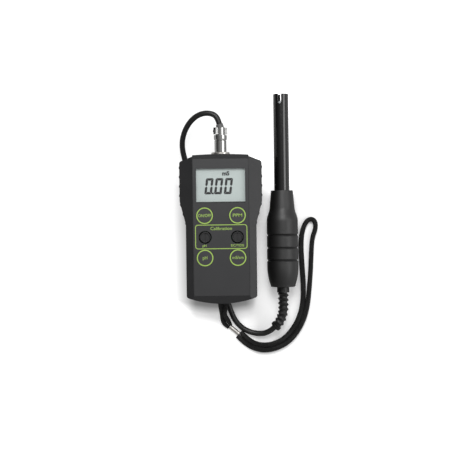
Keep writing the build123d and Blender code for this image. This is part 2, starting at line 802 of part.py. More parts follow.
def plunger(spot):
    """Switch plunger under a key."""
    with BuildPart() as stem:
        pillars([spot], PLUNGER_R, SWITCH_TOP - PLUNGER_DEPTH, PLUNGER_TOP)
    return stem.part


with BuildPart() as key_on_off:
    add(key_cap(KEY_SPOTS["on_off"]))
with BuildPart() as key_ppm:
    add(key_cap(KEY_SPOTS["ppm"]))
with BuildPart() as key_ph:
    add(key_cap(KEY_SPOTS["ph"]))
with BuildPart() as key_ms:
    add(key_cap(KEY_SPOTS["ms"]))
with BuildPart() as plunger_on_off:
    add(plunger(KEY_SPOTS["on_off"]))
with BuildPart() as plunger_ppm:
    add(plunger(KEY_SPOTS["ppm"]))
with BuildPart() as plunger_ph:
    add(plunger(KEY_SPOTS["ph"]))
with BuildPart() as plunger_ms:
    add(plunger(KEY_SPOTS["ms"]))

TRIM_BODY_TOP = BOARD_TOP + TRIM_BODY_H
TRIM_KNOB_TOP = CASE_H - TRIM_KNOB_LOW
TRIM_BORE_H = 3.0
with BuildPart() as trimmer_bodies:
    plates(TRIM_SPOTS.values(), TRIM_BODY, TRIM_BODY, BOARD_TOP, TRIM_BODY_TOP)
    pillars(
        TRIM_SPOTS.values(),
        TRIM_SHAFT_R + TURN_GAP,
        TRIM_BODY_TOP - TRIM_BORE_H,
        TRIM_BODY_TOP + 1,
        mode=Mode.SUBTRACT,
    )


def trimmer_knob(spot):
    """Dished knob with a screwdriver slot on a thin shaft."""
    dish_floor = TRIM_KNOB_TOP - TRIM_DISH_H
    with BuildPart() as knob:
        pillars([spot], TRIM_KNOB_R, TRIM_KNOB_TOP - TRIM_KNOB_H, TRIM_KNOB_TOP)
        pillars([spot], TRIM_SHAFT_R, TRIM_BODY_TOP - TRIM_BORE_H + TURN_GAP, TRIM_KNOB_TOP - TRIM_KNOB_H)
        pillars([spot], TRIM_DISH_R, dish_floor, TRIM_KNOB_TOP + 1, mode=Mode.SUBTRACT)
        plates(
            [spot],
            TRIM_SLOT_W,
            2 * TRIM_DISH_R - 1,
            dish_floor - TRIM_SLOT_H,
            dish_floor + 1,
            mode=Mode.SUBTRACT,
        )
        fillet(knob.edges().group_by(Axis.Z)[-1], 0.3)
    return knob.part


with BuildPart() as trimmer_ph:
    add(trimmer_knob(TRIM_SPOTS["ph"]))
with BuildPart() as trimmer_ms:
    add(trimmer_knob(TRIM_SPOTS["ms"]))

# Case screws, driven from the back
with BuildPart() as case_screws:
    pillars(BOSS_SPOTS, SCREW_R - TURN_GAP, SCREW_SINK - 0.5, SCREW_SINK + SCREW_L)
    pillars(BOSS_SPOTS, SCREW_HEAD_R, SCREW_SINK - SCREW_HEAD_H, SCREW_SINK)
    for slot_w, slot_l in ((SCREW_SLOT_W, 1.3 * SCREW_HEAD_R), (1.3 * SCREW_HEAD_R, SCREW_SLOT_W)):
        plates(
            BOSS_SPOTS,
            slot_w,
            slot_l,
            SCREW_SINK - SCREW_HEAD_H - 1,
            SCREW_SINK - SCREW_HEAD_H + SCREW_SLOT_H,
            mode=Mode.SUBTRACT,
        )

# Connector, all turned about one line along Y
SOCKET_Z = BACK_Z + SOCKET_H
SOCKET_Y = CASE_Y + TOP_Y
socket_half = Plane(origin=(CASE_X + SOCKET_X, SOCKET_Y, SOCKET_Z))
socket_axis = Axis((CASE_X + SOCKET_X, SOCKET_Y, SOCKET_Z), (0, 1, 0))


def socket_face(out, roll=0.0):
    """Plane square to the connector's axis, out from the end wall and rolled about it."""
    turn = math.radians(roll)
    return Plane(
        origin=(CASE_X + SOCKET_X, SOCKET_Y + out, SOCKET_Z),
        x_dir=(math.cos(turn), 0, -math.sin(turn)),
        z_dir=(0, 1, 0),
    )


def turned(*points):
    """Turn a half outline of (radius, distance out) points about the connector's axis."""
    with BuildSketch(socket_half) as half:
        with BuildLine():
            Polyline(*points, close=True)
        make_face()
    revolve(half.sketch, axis=socket_axis)


INSERT_R = 3.3
INSERT_LOW = -SOCKET_BODY_L + 0.5
with BuildPart() as panel_socket:
    turned(
        (INSERT_R, -SOCKET_BODY_L),
        (SOCKET_BODY_R, -SOCKET_BODY_L),
        (SOCKET_BODY_R, 0),
        (FLANGE_R, 0),
        (FLANGE_R, FLANGE_T - 0.4),
        (FLANGE_R - 0.4, FLANGE_T),
        (BARREL_R, FLANGE_T),
        (BARREL_R, BARREL_END),
        (BARREL_BORE_R, BARREL_END),
        (BARREL_BORE_R, SOCKET_FLOOR),
        (INSERT_R, SOCKET_FLOOR),
    )

with BuildPart() as socket_nut:
    with BuildSketch(socket_face(-WALL - NUT_GAP)):
        RegularPolygon(NUT_FLATS / 2, 6, major_radius=False)
        Circle(SOCKET_BODY_R + TURN_GAP, mode=Mode.SUBTRACT)
    extrude(amount=-NUT_T)

with BuildPart() as socket_insert:
    with BuildSketch(socket_face(INSERT_LOW)):
        Circle(INSERT_R - TURN_GAP)
        with PolarLocations(CONTACT_RING_R, CONTACT_COUNT):
            Circle(CONTACT_R + TURN_GAP, mode=Mode.SUBTRACT)
    extrude(amount=SOCKET_FLOOR + 1 - INSERT_LOW)

with BuildPart() as socket_pins:
    with BuildSketch(socket_face(INSERT_LOW - 1)):
        with PolarLocations(CONTACT_RING_R, CONTACT_COUNT):
            Circle(CONTACT_R)
    extrude(amount=CONTACT_END - INSERT_LOW + 1)

with BuildPart() as coupling_ring:
    turned(
        (BARREL_R + TURN_GAP, RING_START),
        (RING_R, RING_START),
        (RING_R, RING_END - 0.4),
        (RING_R - 0.4, RING_END),
        (NECK_R + NECK_GAP, RING_END),
        (NECK_R + NECK_GAP, RING_SHOULDER),
        (BARREL_R + TURN_GAP, RING_SHOULDER),
    )

with BuildPart() as plug_insert:
    turned(
        (0, 0.5),
        (PLUG_INSERT_R, 0.5),
        (PLUG_INSERT_R, PLUG_FLANGE_START - 0.1),
        (PLUG_CORE_R, PLUG_FLANGE_START - 0.1),
        (PLUG_CORE_R, COLLAR_START),
        (0, COLLAR_START),
    )
    with BuildSketch(socket_face(0)):
        with PolarLocations(CONTACT_RING_R, CONTACT_COUNT):
            Circle(CONTACT_R + TURN_GAP)
    extrude(amount=CONTACT_END + 1, mode=Mode.SUBTRACT)


def clamp_half(side):
    """Half round saddle with an ear each side, above (1) or below (-1) the cable."""
    ear_w = CLAMP_EAR_X - CLAMP_BORE_R
    with BuildSketch(socket_face(CLAMP_START, CLAMP_ROLL)) as section:
        Circle(CLAMP_R)
        with Locations((0, -side * (CLAMP_EAR_T / 2 + CLAMP_SPLIT))):
            Rectangle(2 * CLAMP_EAR_X, CLAMP_EAR_T)
        with Locations((0, side * (CLAMP_R - CLAMP_SPLIT))):
            Rectangle(3 * CLAMP_EAR_X, 2 * CLAMP_R, mode=Mode.SUBTRACT)
        Circle(CLAMP_BORE_R, mode=Mode.SUBTRACT)
    return section.sketch


CLAMP_L = CLAMP_END - CLAMP_START
CLAMP_MID = (CLAMP_START + CLAMP_END) / 2


def clamp_screws_at(radius, low, high, mode=Mode.ADD):
    """Pillars or holes across the clamp at its two screws, from below to above it."""
    middle = socket_face(CLAMP_MID, CLAMP_ROLL)
    up = middle.y_dir
    across = Plane(origin=middle.origin + up * low, x_dir=middle.x_dir, z_dir=up)
    with BuildSketch(across) as ends:
        with Locations((CLAMP_SCREW_X, 0), (-CLAMP_SCREW_X, 0)):
            Circle(radius)
    extrude(ends.sketch, amount=high - low, mode=mode)


CLAMP_EAR_TOP = CLAMP_SPLIT + CLAMP_EAR_T
with BuildPart() as plug_shell:
    turned(
        (PLUG_CORE_R + NECK_GAP, PLUG_FLANGE_START),
        (PLUG_FLANGE_R, PLUG_FLANGE_START),
        (PLUG_FLANGE_R, PLUG_FLANGE_END),
        (NECK_R, PLUG_FLANGE_END),
        (NECK_R, COLLAR_START),
        (COLLAR_R - 0.5, COLLAR_START),
        (COLLAR_R, COLLAR_START + COLLAR_TAPER),
        (COLLAR_R, COLLAR_END - 0.3),
        (COLLAR_R - 0.3, COLLAR_END),
        (CLAMP_R, COLLAR_END),
        (CLAMP_R, CLAMP_START),
        (CLAMP_BORE_R, CLAMP_START),
        (CLAMP_BORE_R, COLLAR_START + NECK_GAP),
        (PLUG_CORE_R + NECK_GAP, COLLAR_START + NECK_GAP),
    )
    extrude(clamp_half(1), amount=CLAMP_L)
    clamp_screws_at(CLAMP_SCREW_R, -CLAMP_EAR_TOP - 1, 0, mode=Mode.SUBTRACT)

with BuildPart() as cable_clamp:
    extrude(clamp_half(-1), amount=CLAMP_L)
    clamp_screws_at(CLAMP_SCREW_R + TURN_GAP, 0, CLAMP_EAR_TOP + 1, mode=Mode.SUBTRACT)

with BuildPart() as clamp_screws:
    clamp_screws_at(CLAMP_SCREW_R - TURN_GAP, -CLAMP_EAR_TOP, CLAMP_EAR_TOP + 0.5)
    clamp_screws_at(CLAMP_SCREW_HEAD_R, CLAMP_EAR_TOP, CLAMP_EAR_TOP + CLAMP_SCREW_HEAD_H)

lean = math.radians(SLEEVE_TILT)
sleeve_end = Plane(
    origin=(CASE_X + SOCKET_X, SOCKET_Y + SLEEVE_BASE, SOCKET_Z),
    x_dir=(math.cos(lean), math.sin(lean), 0),
    z_dir=(-math.sin(lean), math.cos(lean), 0),
)
with BuildPart() as cable_sleeve:
    with BuildSketch(sleeve_end.offset(-SLEEVE_L)):
        Circle(SLEEVE_R)
    extrude(amount=2 * SLEEVE_L)
    with BuildSketch(socket_face(SLEEVE_BASE)):
        Circle(2 * SLEEVE_R)
    extrude(amount=-2 * SLEEVE_L, mode=Mode.SUBTRACT)
    with BuildSketch(socket_face(SLEEVE_START)):
        Circle(SLEEVE_CORE_R)
    extrude(amount=SLEEVE_BASE - SLEEVE_START)

# Probe, turned about a line along Y through its handle
HANDLE_Y = CASE_Y + HANDLE_END_Y
probe_half = Plane(origin=(CASE_X + PROBE_X, HANDLE_Y, HANDLE_R))
probe_axis = Axis((CASE_X + PROBE_X, HANDLE_Y, HANDLE_R), (0, 1, 0))
SHAFT_LOW_U = HANDLE_L - SHAFT_SINK
TIP_U = SHAFT_LOW_U + SHAFT_L
STICK_R = SHAFT_R - SHAFT_WALL - STICK_GAP
STICK_END_U = TIP_U - STICK_SINK


def probe_face(up):
    """Plane square to the probe's axis, up from the bottom end of the handle."""
    return Plane(
        origin=(CASE_X + PROBE_X, HANDLE_Y + up, HANDLE_R),
        x_dir=(1, 0, 0),
        z_dir=(0, 1, 0),
    )


def probe_rod(spots, radius, low, high, mode=Mode.ADD):
    """Round rods or holes along the probe at the spots, between two distances up."""
    with BuildSketch(probe_face(low)) as ends:
        with Locations(*spots):
            Circle(radius)
    extrude(ends.sketch, amount=high - low, mode=mode)


with BuildPart() as probe_handle:
    with BuildSketch(probe_half) as handle_half:
        with BuildLine():
            Polyline((0, 0), (HANDLE_FOOT_R, 0), (HANDLE_FOOT_R, HANDLE_FOOT_U))
            ThreePointArc(
                (HANDLE_FOOT_R, HANDLE_FOOT_U),
                (HANDLE_BELLY_R, HANDLE_BELLY_MID_U),
                (HANDLE_R, HANDLE_BELLY_U),
            )
            Line((HANDLE_R, HANDLE_BELLY_U), (HANDLE_R, HANDLE_BAND_U))
            Spline(
                (HANDLE_R, HANDLE_BAND_U),
                (HANDLE_NECK_R, HANDLE_NECK_U),
                tangents=[(0, 1), (HANDLE_TOP_R - HANDLE_NECK_R, HANDLE_L - HANDLE_NECK_U)],
            )
            Polyline((HANDLE_NECK_R, HANDLE_NECK_U), (HANDLE_TOP_R, HANDLE_L), (0, HANDLE_L), (0, 0))
        make_face()
        for groove_u in GROOVES_U:
            with BuildLine():
                Polyline(
                    (HANDLE_R - GROOVE_DEPTH, groove_u),
                    (HANDLE_R, groove_u - GROOVE_HALF),
                    (HANDLE_R + 1, groove_u - GROOVE_HALF),
                    (HANDLE_R + 1, groove_u + GROOVE_HALF),
                    (HANDLE_R, groove_u + GROOVE_HALF),
                    close=True,
                )
            make_face(mode=Mode.SUBTRACT)
        shoulders = handle_half.vertices().filter_by_position(
            Axis.X, HANDLE_R - 0.01, HANDLE_R + 0.01
        )
        groove_edges = [
            corner
            for corner in shoulders
            if any(
                abs(abs(corner.Y - HANDLE_Y - groove_u) - GROOVE_HALF) < 0.01 for groove_u in GROOVES_U
            )
        ]
        if groove_edges:
            fillet(groove_edges, GROOVE_ROUND)
        fillet(handle_half.vertices().sort_by(Axis.Y).group_by(Axis.Y)[0].sort_by(Axis.X)[-1], 1.4)
    revolve(axis=probe_axis)
    probe_rod([(0, 0)], HANDLE_BORE_R, HANDLE_FLOOR, HANDLE_BORE_U, mode=Mode.SUBTRACT)
    probe_rod([(0, 0)], SHAFT_SPIGOT_R + PRESS_GAP, HANDLE_BORE_U - 1, HANDLE_L + 1, mode=Mode.SUBTRACT)
    probe_rod([(0, 0)], RELIEF_SPIGOT_R + PRESS_GAP, -1, HANDLE_FLOOR + 1, mode=Mode.SUBTRACT)
    for seat_u in RING_SEATS_U:
        probe_rod(
            [(0, 0)],
            SHAFT_SPIGOT_R + 2 * RING_CORD_R + 0.1,
            seat_u - RING_CORD_R - 0.1,
            seat_u + RING_CORD_R + 0.1,
            mode=Mode.SUBTRACT,
        )

with BuildPart() as shaft_rings:
    with BuildSketch(probe_half) as ring_half:
        for seat_u in RING_SEATS_U:
            with Locations((SHAFT_SPIGOT_R + RING_CORD_R + 0.03, seat_u)):
                Circle(RING_CORD_R)
    revolve(axis=probe_axis)

with BuildPart() as probe_shaft:
    probe_rod([(0, 0)], SHAFT_SPIGOT_R, SHAFT_LOW_U, TIP_U)
    probe_rod([(0, 0)], SHAFT_R, HANDLE_L + SHAFT_STEP, TIP_U)
    fillet(probe_shaft.edges().group_by(Axis.Y)[-1], SHAFT_TIP_R)
    probe_rod([(0, 0)], SHAFT_R - SHAFT_WALL, SHAFT_LOW_U - 1, TIP_U + 1, mode=Mode.SUBTRACT)
    slot_turn = math.radians(TIP_SLOT_TURN)
    slot_across = Plane(
        origin=(CASE_X + PROBE_X, HANDLE_Y + TIP_U, HANDLE_R),
        x_dir=(math.cos(slot_turn), 0, math.sin(slot_turn)),
        z_dir=(-math.sin(slot_turn), 0, math.cos(slot_turn)),
    )
    with BuildSketch(slot_across):
        with Locations((0, 0)):
            SlotCenterToCenter(2 * (TIP_SLOT_L - TIP_SLOT_W / 2), TIP_SLOT_W, rotation=90)
    extrude(amount=2 * SHAFT_R, both=True, mode=Mode.SUBTRACT)

SENSOR_SPOTS = {
    "pins": [(SENSOR_RING_R, 0), (-SENSOR_RING_R, 0)],
    "thermo": [(0, SENSOR_RING_R)],
    "junction": [(0, -SENSOR_RING_R)],
}
SEAT_DEPTH = 6.0
with BuildPart() as electrode_stick:
    probe_rod([(0, 0)], STICK_R, STICK_START_U, STICK_END_U)
    for spots in SENSOR_SPOTS.values():
        probe_rod(spots, SENSOR_R + TURN_GAP, STICK_END_U - SEAT_DEPTH, STICK_END_U + 1, mode=Mode.SUBTRACT)
    probe_rod([(0, 0)], BULB_STEM_R + TURN_GAP, STICK_END_U - SEAT_DEPTH, STICK_END_U + 1, mode=Mode.SUBTRACT)

with BuildPart() as ph_bulb:
    probe_rod([(0, 0)], BULB_STEM_R, STICK_END_U - SEAT_DEPTH, STICK_END_U + BULB_OUT - BULB_R)
    with Locations((CASE_X + PROBE_X, HANDLE_Y + STICK_END_U + BULB_OUT - BULB_R, HANDLE_R)):
        Sphere(BULB_R)

with BuildPart() as conductivity_pins:
    probe_rod(SENSOR_SPOTS["pins"], SENSOR_R, STICK_END_U - SEAT_DEPTH, STICK_END_U + PIN_OUT)

with BuildPart() as temperature_sensor:
    probe_rod(SENSOR_SPOTS["thermo"], SENSOR_R, STICK_END_U - SEAT_DEPTH, STICK_END_U + THERMO_OUT)

with BuildPart() as reference_junction:
    probe_rod(SENSOR_SPOTS["junction"], SENSOR_R, STICK_END_U - SEAT_DEPTH, STICK_END_U + JUNCTION_OUT)

with BuildPart() as probe_board:
    with BuildSketch(probe_face(PROBE_BOARD_LOW_U)):
        Rectangle(PROBE_BOARD_W, PROBE_BOARD_T)
    extrude(amount=PROBE_BOARD_HIGH_U - PROBE_BOARD_LOW_U)

# Spiral strain relief: a bent core with leaning ribs that grow smaller towards its tip
RELIEF_TOP = Vector(CASE_X + PROBE_X, HANDLE_Y, HANDLE_R)
RELIEF_BEND = RELIEF_TOP - Vector(0, RELIEF_STRAIGHT, 0)


def leaning_rib(spot, heading, radius):
    """Rib with a sharp rim, turned about a line that leans away from the route."""
    through = heading.rotate(Axis.Z, -RELIEF_LEAN)
    out = Vector(0, 0, 1).cross(through).rotate(Axis((0, 0, 0), through), RELIEF_RIB_TURN)
    with BuildSketch(Plane(origin=spot, x_dir=out, z_dir=out.cross(through))) as rib_half:
        with BuildLine():
            Polyline(
                (0, -RELIEF_RIB_T),
                (radius - RELIEF_RIB_BEVEL, -RELIEF_RIB_T),
                (radius, 0),
                (radius - RELIEF_RIB_BEVEL, RELIEF_RIB_T),
                (0, RELIEF_RIB_T),
                close=True,
            )
        make_face()
    revolve(rib_half.sketch, axis=Axis(spot, through))


with BuildPart() as strain_relief:
    with BuildLine() as relief_route:
        Line(RELIEF_TOP, RELIEF_BEND)
        TangentArc(RELIEF_BEND, place(RELIEF_END), tangent=(0, -1, 0))
    with BuildSketch(Plane(origin=RELIEF_TOP, x_dir=(0, 0, -1), z_dir=(0, 1, 0))):
        Circle(RELIEF_CORE_R)
    sweep(path=relief_route.line)
    probe_rod([(0, 0)], RELIEF_SPIGOT_R, 0, RELIEF_SPIGOT_L)
    probe_rod([(0, 0)], RELIEF_COLLAR_R, -RELIEF_COLLAR_L, 0)
    relief_length = relief_route.wire().length
    rib_at = RELIEF_COLLAR_L + RELIEF_RIB_T + 0.6
    while rib_at < relief_length - RELIEF_TIP_RING_L - RELIEF_RIB_T:
        share = rib_at / relief_length
        rib_r = RELIEF_RIB_R + (RELIEF_TIP_R - RELIEF_RIB_R) * share
        leaning_rib(relief_route.line @ share, relief_route.line % share, rib_r)
        rib_at += RELIEF_PITCH
    with BuildSketch(relief_route.line ^ 1):
        Circle(RELIEF_TIP_R)
    extrude(amount=-RELIEF_TIP_RING_L)


def corner_radii(route):
    """Radius of the arc at each corner of a cord's route, as large as its runs allow."""
    radii = []
    for before, here, after in zip(route, route[1:], route[2:]):
        arrive = Vector(here) - Vector(before)
        leave = Vector(after) - Vector(here)
        half_turn = math.radians(arrive.get_angle(leave) / 2)
        shorter = min(arrive.length, leave.length)
        radii.append(0.45 * shorter / math.tan(half_turn))
    return radii


LANE_R = [COIL_R - CABLE_D / 2 - lane * CABLE_D for lane in range(COIL_LANES)]

with BuildPart() as cable_upper:
    with BuildLine() as upper_route:
        FilletPolyline(*map(place, CABLE_UPPER_ROUTE), radius=corner_radii(CABLE_UPPER_ROUTE))
    with BuildSketch(upper_route.line ^ 0):
        Circle(CABLE_D / 2)
    sweep(path=upper_route.line)

with BuildPart() as cable_coil:
    with BuildSketch(Plane(origin=(CASE_X, CASE_Y + COIL_Y, 0))):
        Circle(COIL_R)
        Circle(LANE_R[-1] - CABLE_D / 2, mode=Mode.SUBTRACT)
    extrude(amount=COIL_H)

with BuildPart() as cable_lower:
    with BuildLine() as lower_route:
        FilletPolyline(*map(place, CABLE_LOWER_ROUTE), radius=corner_radii(CABLE_LOWER_ROUTE))
    with BuildSketch(lower_route.line ^ 0):
        Circle(CABLE_D / 2)
    sweep(path=lower_route.line)

with BuildPart() as lug_cord:
    lug_radii = corner_radii(LUG_CORD_ROUTE)
    for corner in (5, 6):
        lug_radii[corner] = LUG_TURN_R
    with BuildLine() as lug_route:
        FilletPolyline(*map(place, LUG_CORD_ROUTE), radius=lug_radii)
    with BuildSketch(lug_route.line ^ 0):
        Circle(LUG_CORD_D / 2)
    sweep(path=lug_route.line)

with BuildPart() as wrist_cord:
    with BuildLine() as wrist_route:
        FilletPolyline(*map(place, WRIST_CORD_ROUTE), radius=corner_radii(WRIST_CORD_ROUTE))
    with BuildSketch(wrist_route.line ^ 0):
        Circle(WRIST_CORD_D / 2)
    sweep(path=wrist_route.line)

with BuildPart() as strap_ferrule:
    ferrule_run = place(FERRULE_END) - place(FERRULE_START)
    with BuildSketch(Plane(origin=place(FERRULE_START), z_dir=ferrule_run)):
        Circle(FERRULE_R)
    extrude(amount=ferrule_run.length)

for cord_name, route, built, size in (
    ("cable_upper", upper_route, cable_upper, CABLE_D),
    ("cable_lower", lower_route, cable_lower, CABLE_D),
    ("lug_cord", lug_route, lug_cord, LUG_CORD_D),
    ("wrist_cord", wrist_route, wrist_cord, WRIST_CORD_D),
):
    section = math.pi * size**2 / 4
    length = route.wire().length
    print(cord_name, "length", round(length, 1), "volume share", round(built.part.volume / section / length, 3))
for cord_name, points in (
    ("cable_upper", CABLE_UPPER_ROUTE),
    ("cable_lower", CABLE_LOWER_ROUTE),
    ("lug_cord", LUG_CORD_ROUTE),
    ("wrist_cord", WRIST_CORD_ROUTE),
):
    print(cord_name, "radii", [round(radius, 1) for radius in corner_radii(points)])

nodes = {
    "front_cover": front_cover,
    "rear_cover": rear_cover,
    "battery_door": battery_door,
    "panel_overlay": panel_overlay,
    "window_lens": window_lens,
    "display_glass": display_glass,
    "display_holder": display_holder,
    "contact_strips": contact_strips,
    "circuit_board": circuit_board,
    "board_chips": board_chips,
    "board_screws": board_screws,
    "key_switches": key_switches,
    "key_on_off": key_on_off,
    "key_ppm": key_ppm,
    "key_ph": key_ph,
    "key_ms": key_ms,
    "plunger_on_off": plunger_on_off,
    "plunger_ppm": plunger_ppm,
    "plunger_ph": plunger_ph,
    "plunger_ms": plunger_ms,
    "trimmer_bodies": trimmer_bodies,
    "trimmer_ph": trimmer_ph,
    "trimmer_ms": trimmer_ms,
    "battery": battery,
    "battery_snap": battery_snap,
    "battery_leads": battery_leads,
    "case_screws": case_screws,
    "strap_pin": strap_pin,
    "panel_socket": panel_socket,
    "socket_nut": socket_nut,
    "socket_insert": socket_insert,
    "socket_pins": socket_pins,
    "coupling_ring": coupling_ring,
    "plug_shell": plug_shell,
    "plug_insert": plug_insert,
    "cable_clamp": cable_clamp,
    "clamp_screws": clamp_screws,
    "cable_sleeve": cable_sleeve,
    "cable_upper": cable_upper,
    "cable_coil": cable_coil,
    "cable_lower": cable_lower,
    "strain_relief": strain_relief,
    "probe_handle": probe_handle,
    "shaft_rings": shaft_rings,
    "probe_shaft": probe_shaft,
    "electrode_stick": electrode_stick,
    "ph_bulb": ph_bulb,
    "conductivity_pins": conductivity_pins,
    "temperature_sensor": temperature_sensor,
    "reference_junction": reference_junction,
    "probe_board": probe_board,
    "lug_cord": lug_cord,
    "wrist_cord": wrist_cord,
    "strap_ferrule": strap_ferrule,
}
os.makedirs("parts", exist_ok=True)
for name, node in nodes.items():
    node.part.label = name
    export_step(node.part, f"parts/{name}.step")
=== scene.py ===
import math

import bmesh
import bpy
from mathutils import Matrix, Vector


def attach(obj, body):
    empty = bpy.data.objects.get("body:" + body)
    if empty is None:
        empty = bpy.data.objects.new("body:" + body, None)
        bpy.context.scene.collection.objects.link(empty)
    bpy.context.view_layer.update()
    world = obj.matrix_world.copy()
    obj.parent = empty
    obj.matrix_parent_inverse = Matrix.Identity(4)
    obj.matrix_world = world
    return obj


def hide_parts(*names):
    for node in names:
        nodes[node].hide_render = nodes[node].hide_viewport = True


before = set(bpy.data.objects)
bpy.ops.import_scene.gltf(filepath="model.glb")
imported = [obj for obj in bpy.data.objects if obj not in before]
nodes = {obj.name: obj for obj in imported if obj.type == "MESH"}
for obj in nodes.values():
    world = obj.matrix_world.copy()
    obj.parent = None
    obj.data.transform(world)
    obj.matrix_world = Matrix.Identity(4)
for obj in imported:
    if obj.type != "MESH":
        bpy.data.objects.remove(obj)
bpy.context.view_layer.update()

MM = 0.001

# The case's middle and the height of its back, as in the part, in millimetres
CASE_X = -17.475
CASE_Y = -29.85
BACK_Z = 11.3
CASE_H = 36.0


def place(x, y, z):
    """Point given from the case's middle, in millimetres, as metres in the frame."""
    return Vector((CASE_X + x, CASE_Y + y, z)) * MM


# The photograph's view: straight above, from far away and turned a little
VIEW_X = 4.67
VIEW_Y = 2.74
VIEW_HEIGHT = 1500.0
VIEW_TURN = -0.75
VIEW_LENS = 119.9


def add_to_scene(obj):
    """Put an object into the scene."""
    bpy.context.scene.collection.objects.link(obj)


def photo_camera():
    """Camera that sees the object as the photograph does."""
    view = bpy.data.cameras.new("view")
    view.sensor_width = 36.0
    view.lens = VIEW_LENS
    view.clip_end = 10.0
    camera = bpy.data.objects.new("view", view)
    camera.location = place(VIEW_X, VIEW_Y, VIEW_HEIGHT)
    camera.rotation_euler = (0.0, 0.0, math.radians(VIEW_TURN))
    add_to_scene(camera)
    bpy.context.scene.camera = camera


photo_camera()

# Cords, each on one smooth curve along the part's route, with the lug cord's points moved a little
CABLE_UPPER_ROUTE = [
    (-0.6, 102.2, 32.8),
    (-2.1, 108.2, 32.8),
    (-6.9, 112.4, 32.2),
    (-14.9, 113.4, 30.8),
    (-22.8, 110.9, 27.8),
    (-29.8, 104.9, 24.0),
    (-35.0, 96.3, 19.4),
    (-37.6, 87.0, 14.8),
    (-37.3, 77.4, 10.8),
    (-34.8, 67.6, 8.3),
    (-32.9, 56.0, 8.25),
    (-33.4, 42.0, 8.25),
    (-32.8, 28.0, 8.25),
    (-32.6, 15.0, 8.25),
]
CABLE_LOWER_ROUTE = [
    (-28.3, -2.3, 2.75),
    (-22.0, -13.4, 2.75),
    (-15.8, -25.6, 2.75),
    (-10.4, -38.0, 2.75),
    (-4.7, -50.4, 2.75),
    (0.6, -62.0, 2.75),
    (5.4, -72.6, 2.75),
    (8.7, -82.9, 2.75),
    (13.3, -92.9, 2.75),
    (22.4, -101.3, 2.75),
    (34.6, -104.9, 4.2),
    (45.6, -103.55, 7.27),
    (52.3, -97.2, 11.0),
]
LUG_CORD_ROUTE = [
    (6.1, -98.4, 2.35),
    (2.4, -95.4, 2.7),
    (0.2, -90.6, 5.2),
    (-0.5, -85.0, 10.0),
    (-1.3, -79.5, 16.0),
    (-1.6, -75.0, 19.0),
    (-1.7, -70.0, 19.3),
    (-2.0, -66.0, 19.3),
    (3.9, -66.0, 19.3),
    (3.4, -70.0, 19.3),
    (2.9, -75.0, 19.2),
    (2.9, -79.5, 18.0),
    (2.3, -84.3, 14.6),
    (3.9, -88.5, 9.6),
    (6.1, -91.8, 4.6),
    (8.2, -96.0, 2.35),
]
# Thickness of one leg of the lug cord along its route, as a share; the other leg mirrors it
LUG_LEG = [0.8, 1.12, 1.16, 1.0, 1.05, 1.25, 1.25, 1.0]
LUG_SPREAD = LUG_LEG + LUG_LEG[::-1]
WRIST_CORD_ROUTE = [
    (14.6, -106.6, 2.4),
    (20.2, -112.6, 2.55),
    (29.6, -118.8, 2.6),
    (40.3, -121.5, 2.6),
    (51.2, -120.3, 2.6),
    (63.8, -114.7, 2.6),
    (73.5, -104.6, 2.6),
    (80.6, -91.8, 2.6),
    (84.8, -77.0, 2.6),
    (86.8, -59.5, 2.5),
    (88.3, -42.0, 2.4),
    (89.1, -25.0, 2.4),
    (90.2, -10.0, 2.4),
    (94.0, -0.5, 2.4),
    (93.2, 7.6, 2.4),
    (87.0, 8.9, 2.4),
    (82.1, 2.4, 2.4),
    (79.2, -9.0, 2.5),
    (79.0, -24.0, 2.6),
    (80.0, -41.0, 2.6),
    (80.9, -58.0, 2.6),
    (80.2, -75.6, 2.6),
    (76.1, -90.0, 2.6),
    (69.3, -101.6, 2.6),
    (60.8, -110.5, 2.6),
    (49.8, -115.5, 2.6),
    (40.7, -116.5, 2.6),
    (31.4, -114.5, 2.6),
    (23.3, -108.7, 2.55),
    (17.8, -102.8, 2.4),
]
# Thickness of the wrist cord along its route, fuller where both legs lie side by side
WRIST_SPREAD = [1.0] + [1.08] * 8 + [1.0] * 8 + [1.08] + [1.1] * 11 + [1.0]
CABLE_D = 5.5
LUG_CORD_D = 4.1
WRIST_CORD_D = 4.7
COIL_Y = 14.0
UPPER_Z = 1.5 * CABLE_D
LOWER_Z = 0.5 * CABLE_D
OUTER_R, MIDDLE_R, INNER_R = 32.65, 27.15, 21.65
# Turn in degrees after the cable reaches the coil, lane radius, and height
WINDING = [
    (0, OUTER_R, UPPER_Z),
    (300, OUTER_R, UPPER_Z),
    (350, MIDDLE_R, UPPER_Z),
    (630, MIDDLE_R, UPPER_Z),
    (690, INNER_R, UPPER_Z),
    (960, INNER_R, LOWER_Z),
    (1010, MIDDLE_R, LOWER_Z),
    (1200, MIDDLE_R, LOWER_Z),
    (1260, OUTER_R, LOWER_Z),
    (1470, OUTER_R, LOWER_Z),
]
WINDING_STEP = 20
LAST_TURN = 1440


def coil_turns():
    """Route points of the coil's turns, laid lane by lane as the winding says."""
    spread = 1 / math.cos(math.radians(WINDING_STEP / 2))
    points = []
    for turn in range(WINDING_STEP, LAST_TURN + WINDING_STEP, WINDING_STEP):
        for (start, r0, z0), (end, r1, z1) in zip(WINDING, WINDING[1:]):
            if start <= turn <= end:
                share = (turn - start) / (end - start)
                radius = (r0 + (r1 - r0) * share) * spread
                height = z0 + (z1 - z0) * share
                break
        angle = math.radians(180 + turn)
        points.append((radius * math.cos(angle), COIL_Y + radius * math.sin(angle), height))
    return points


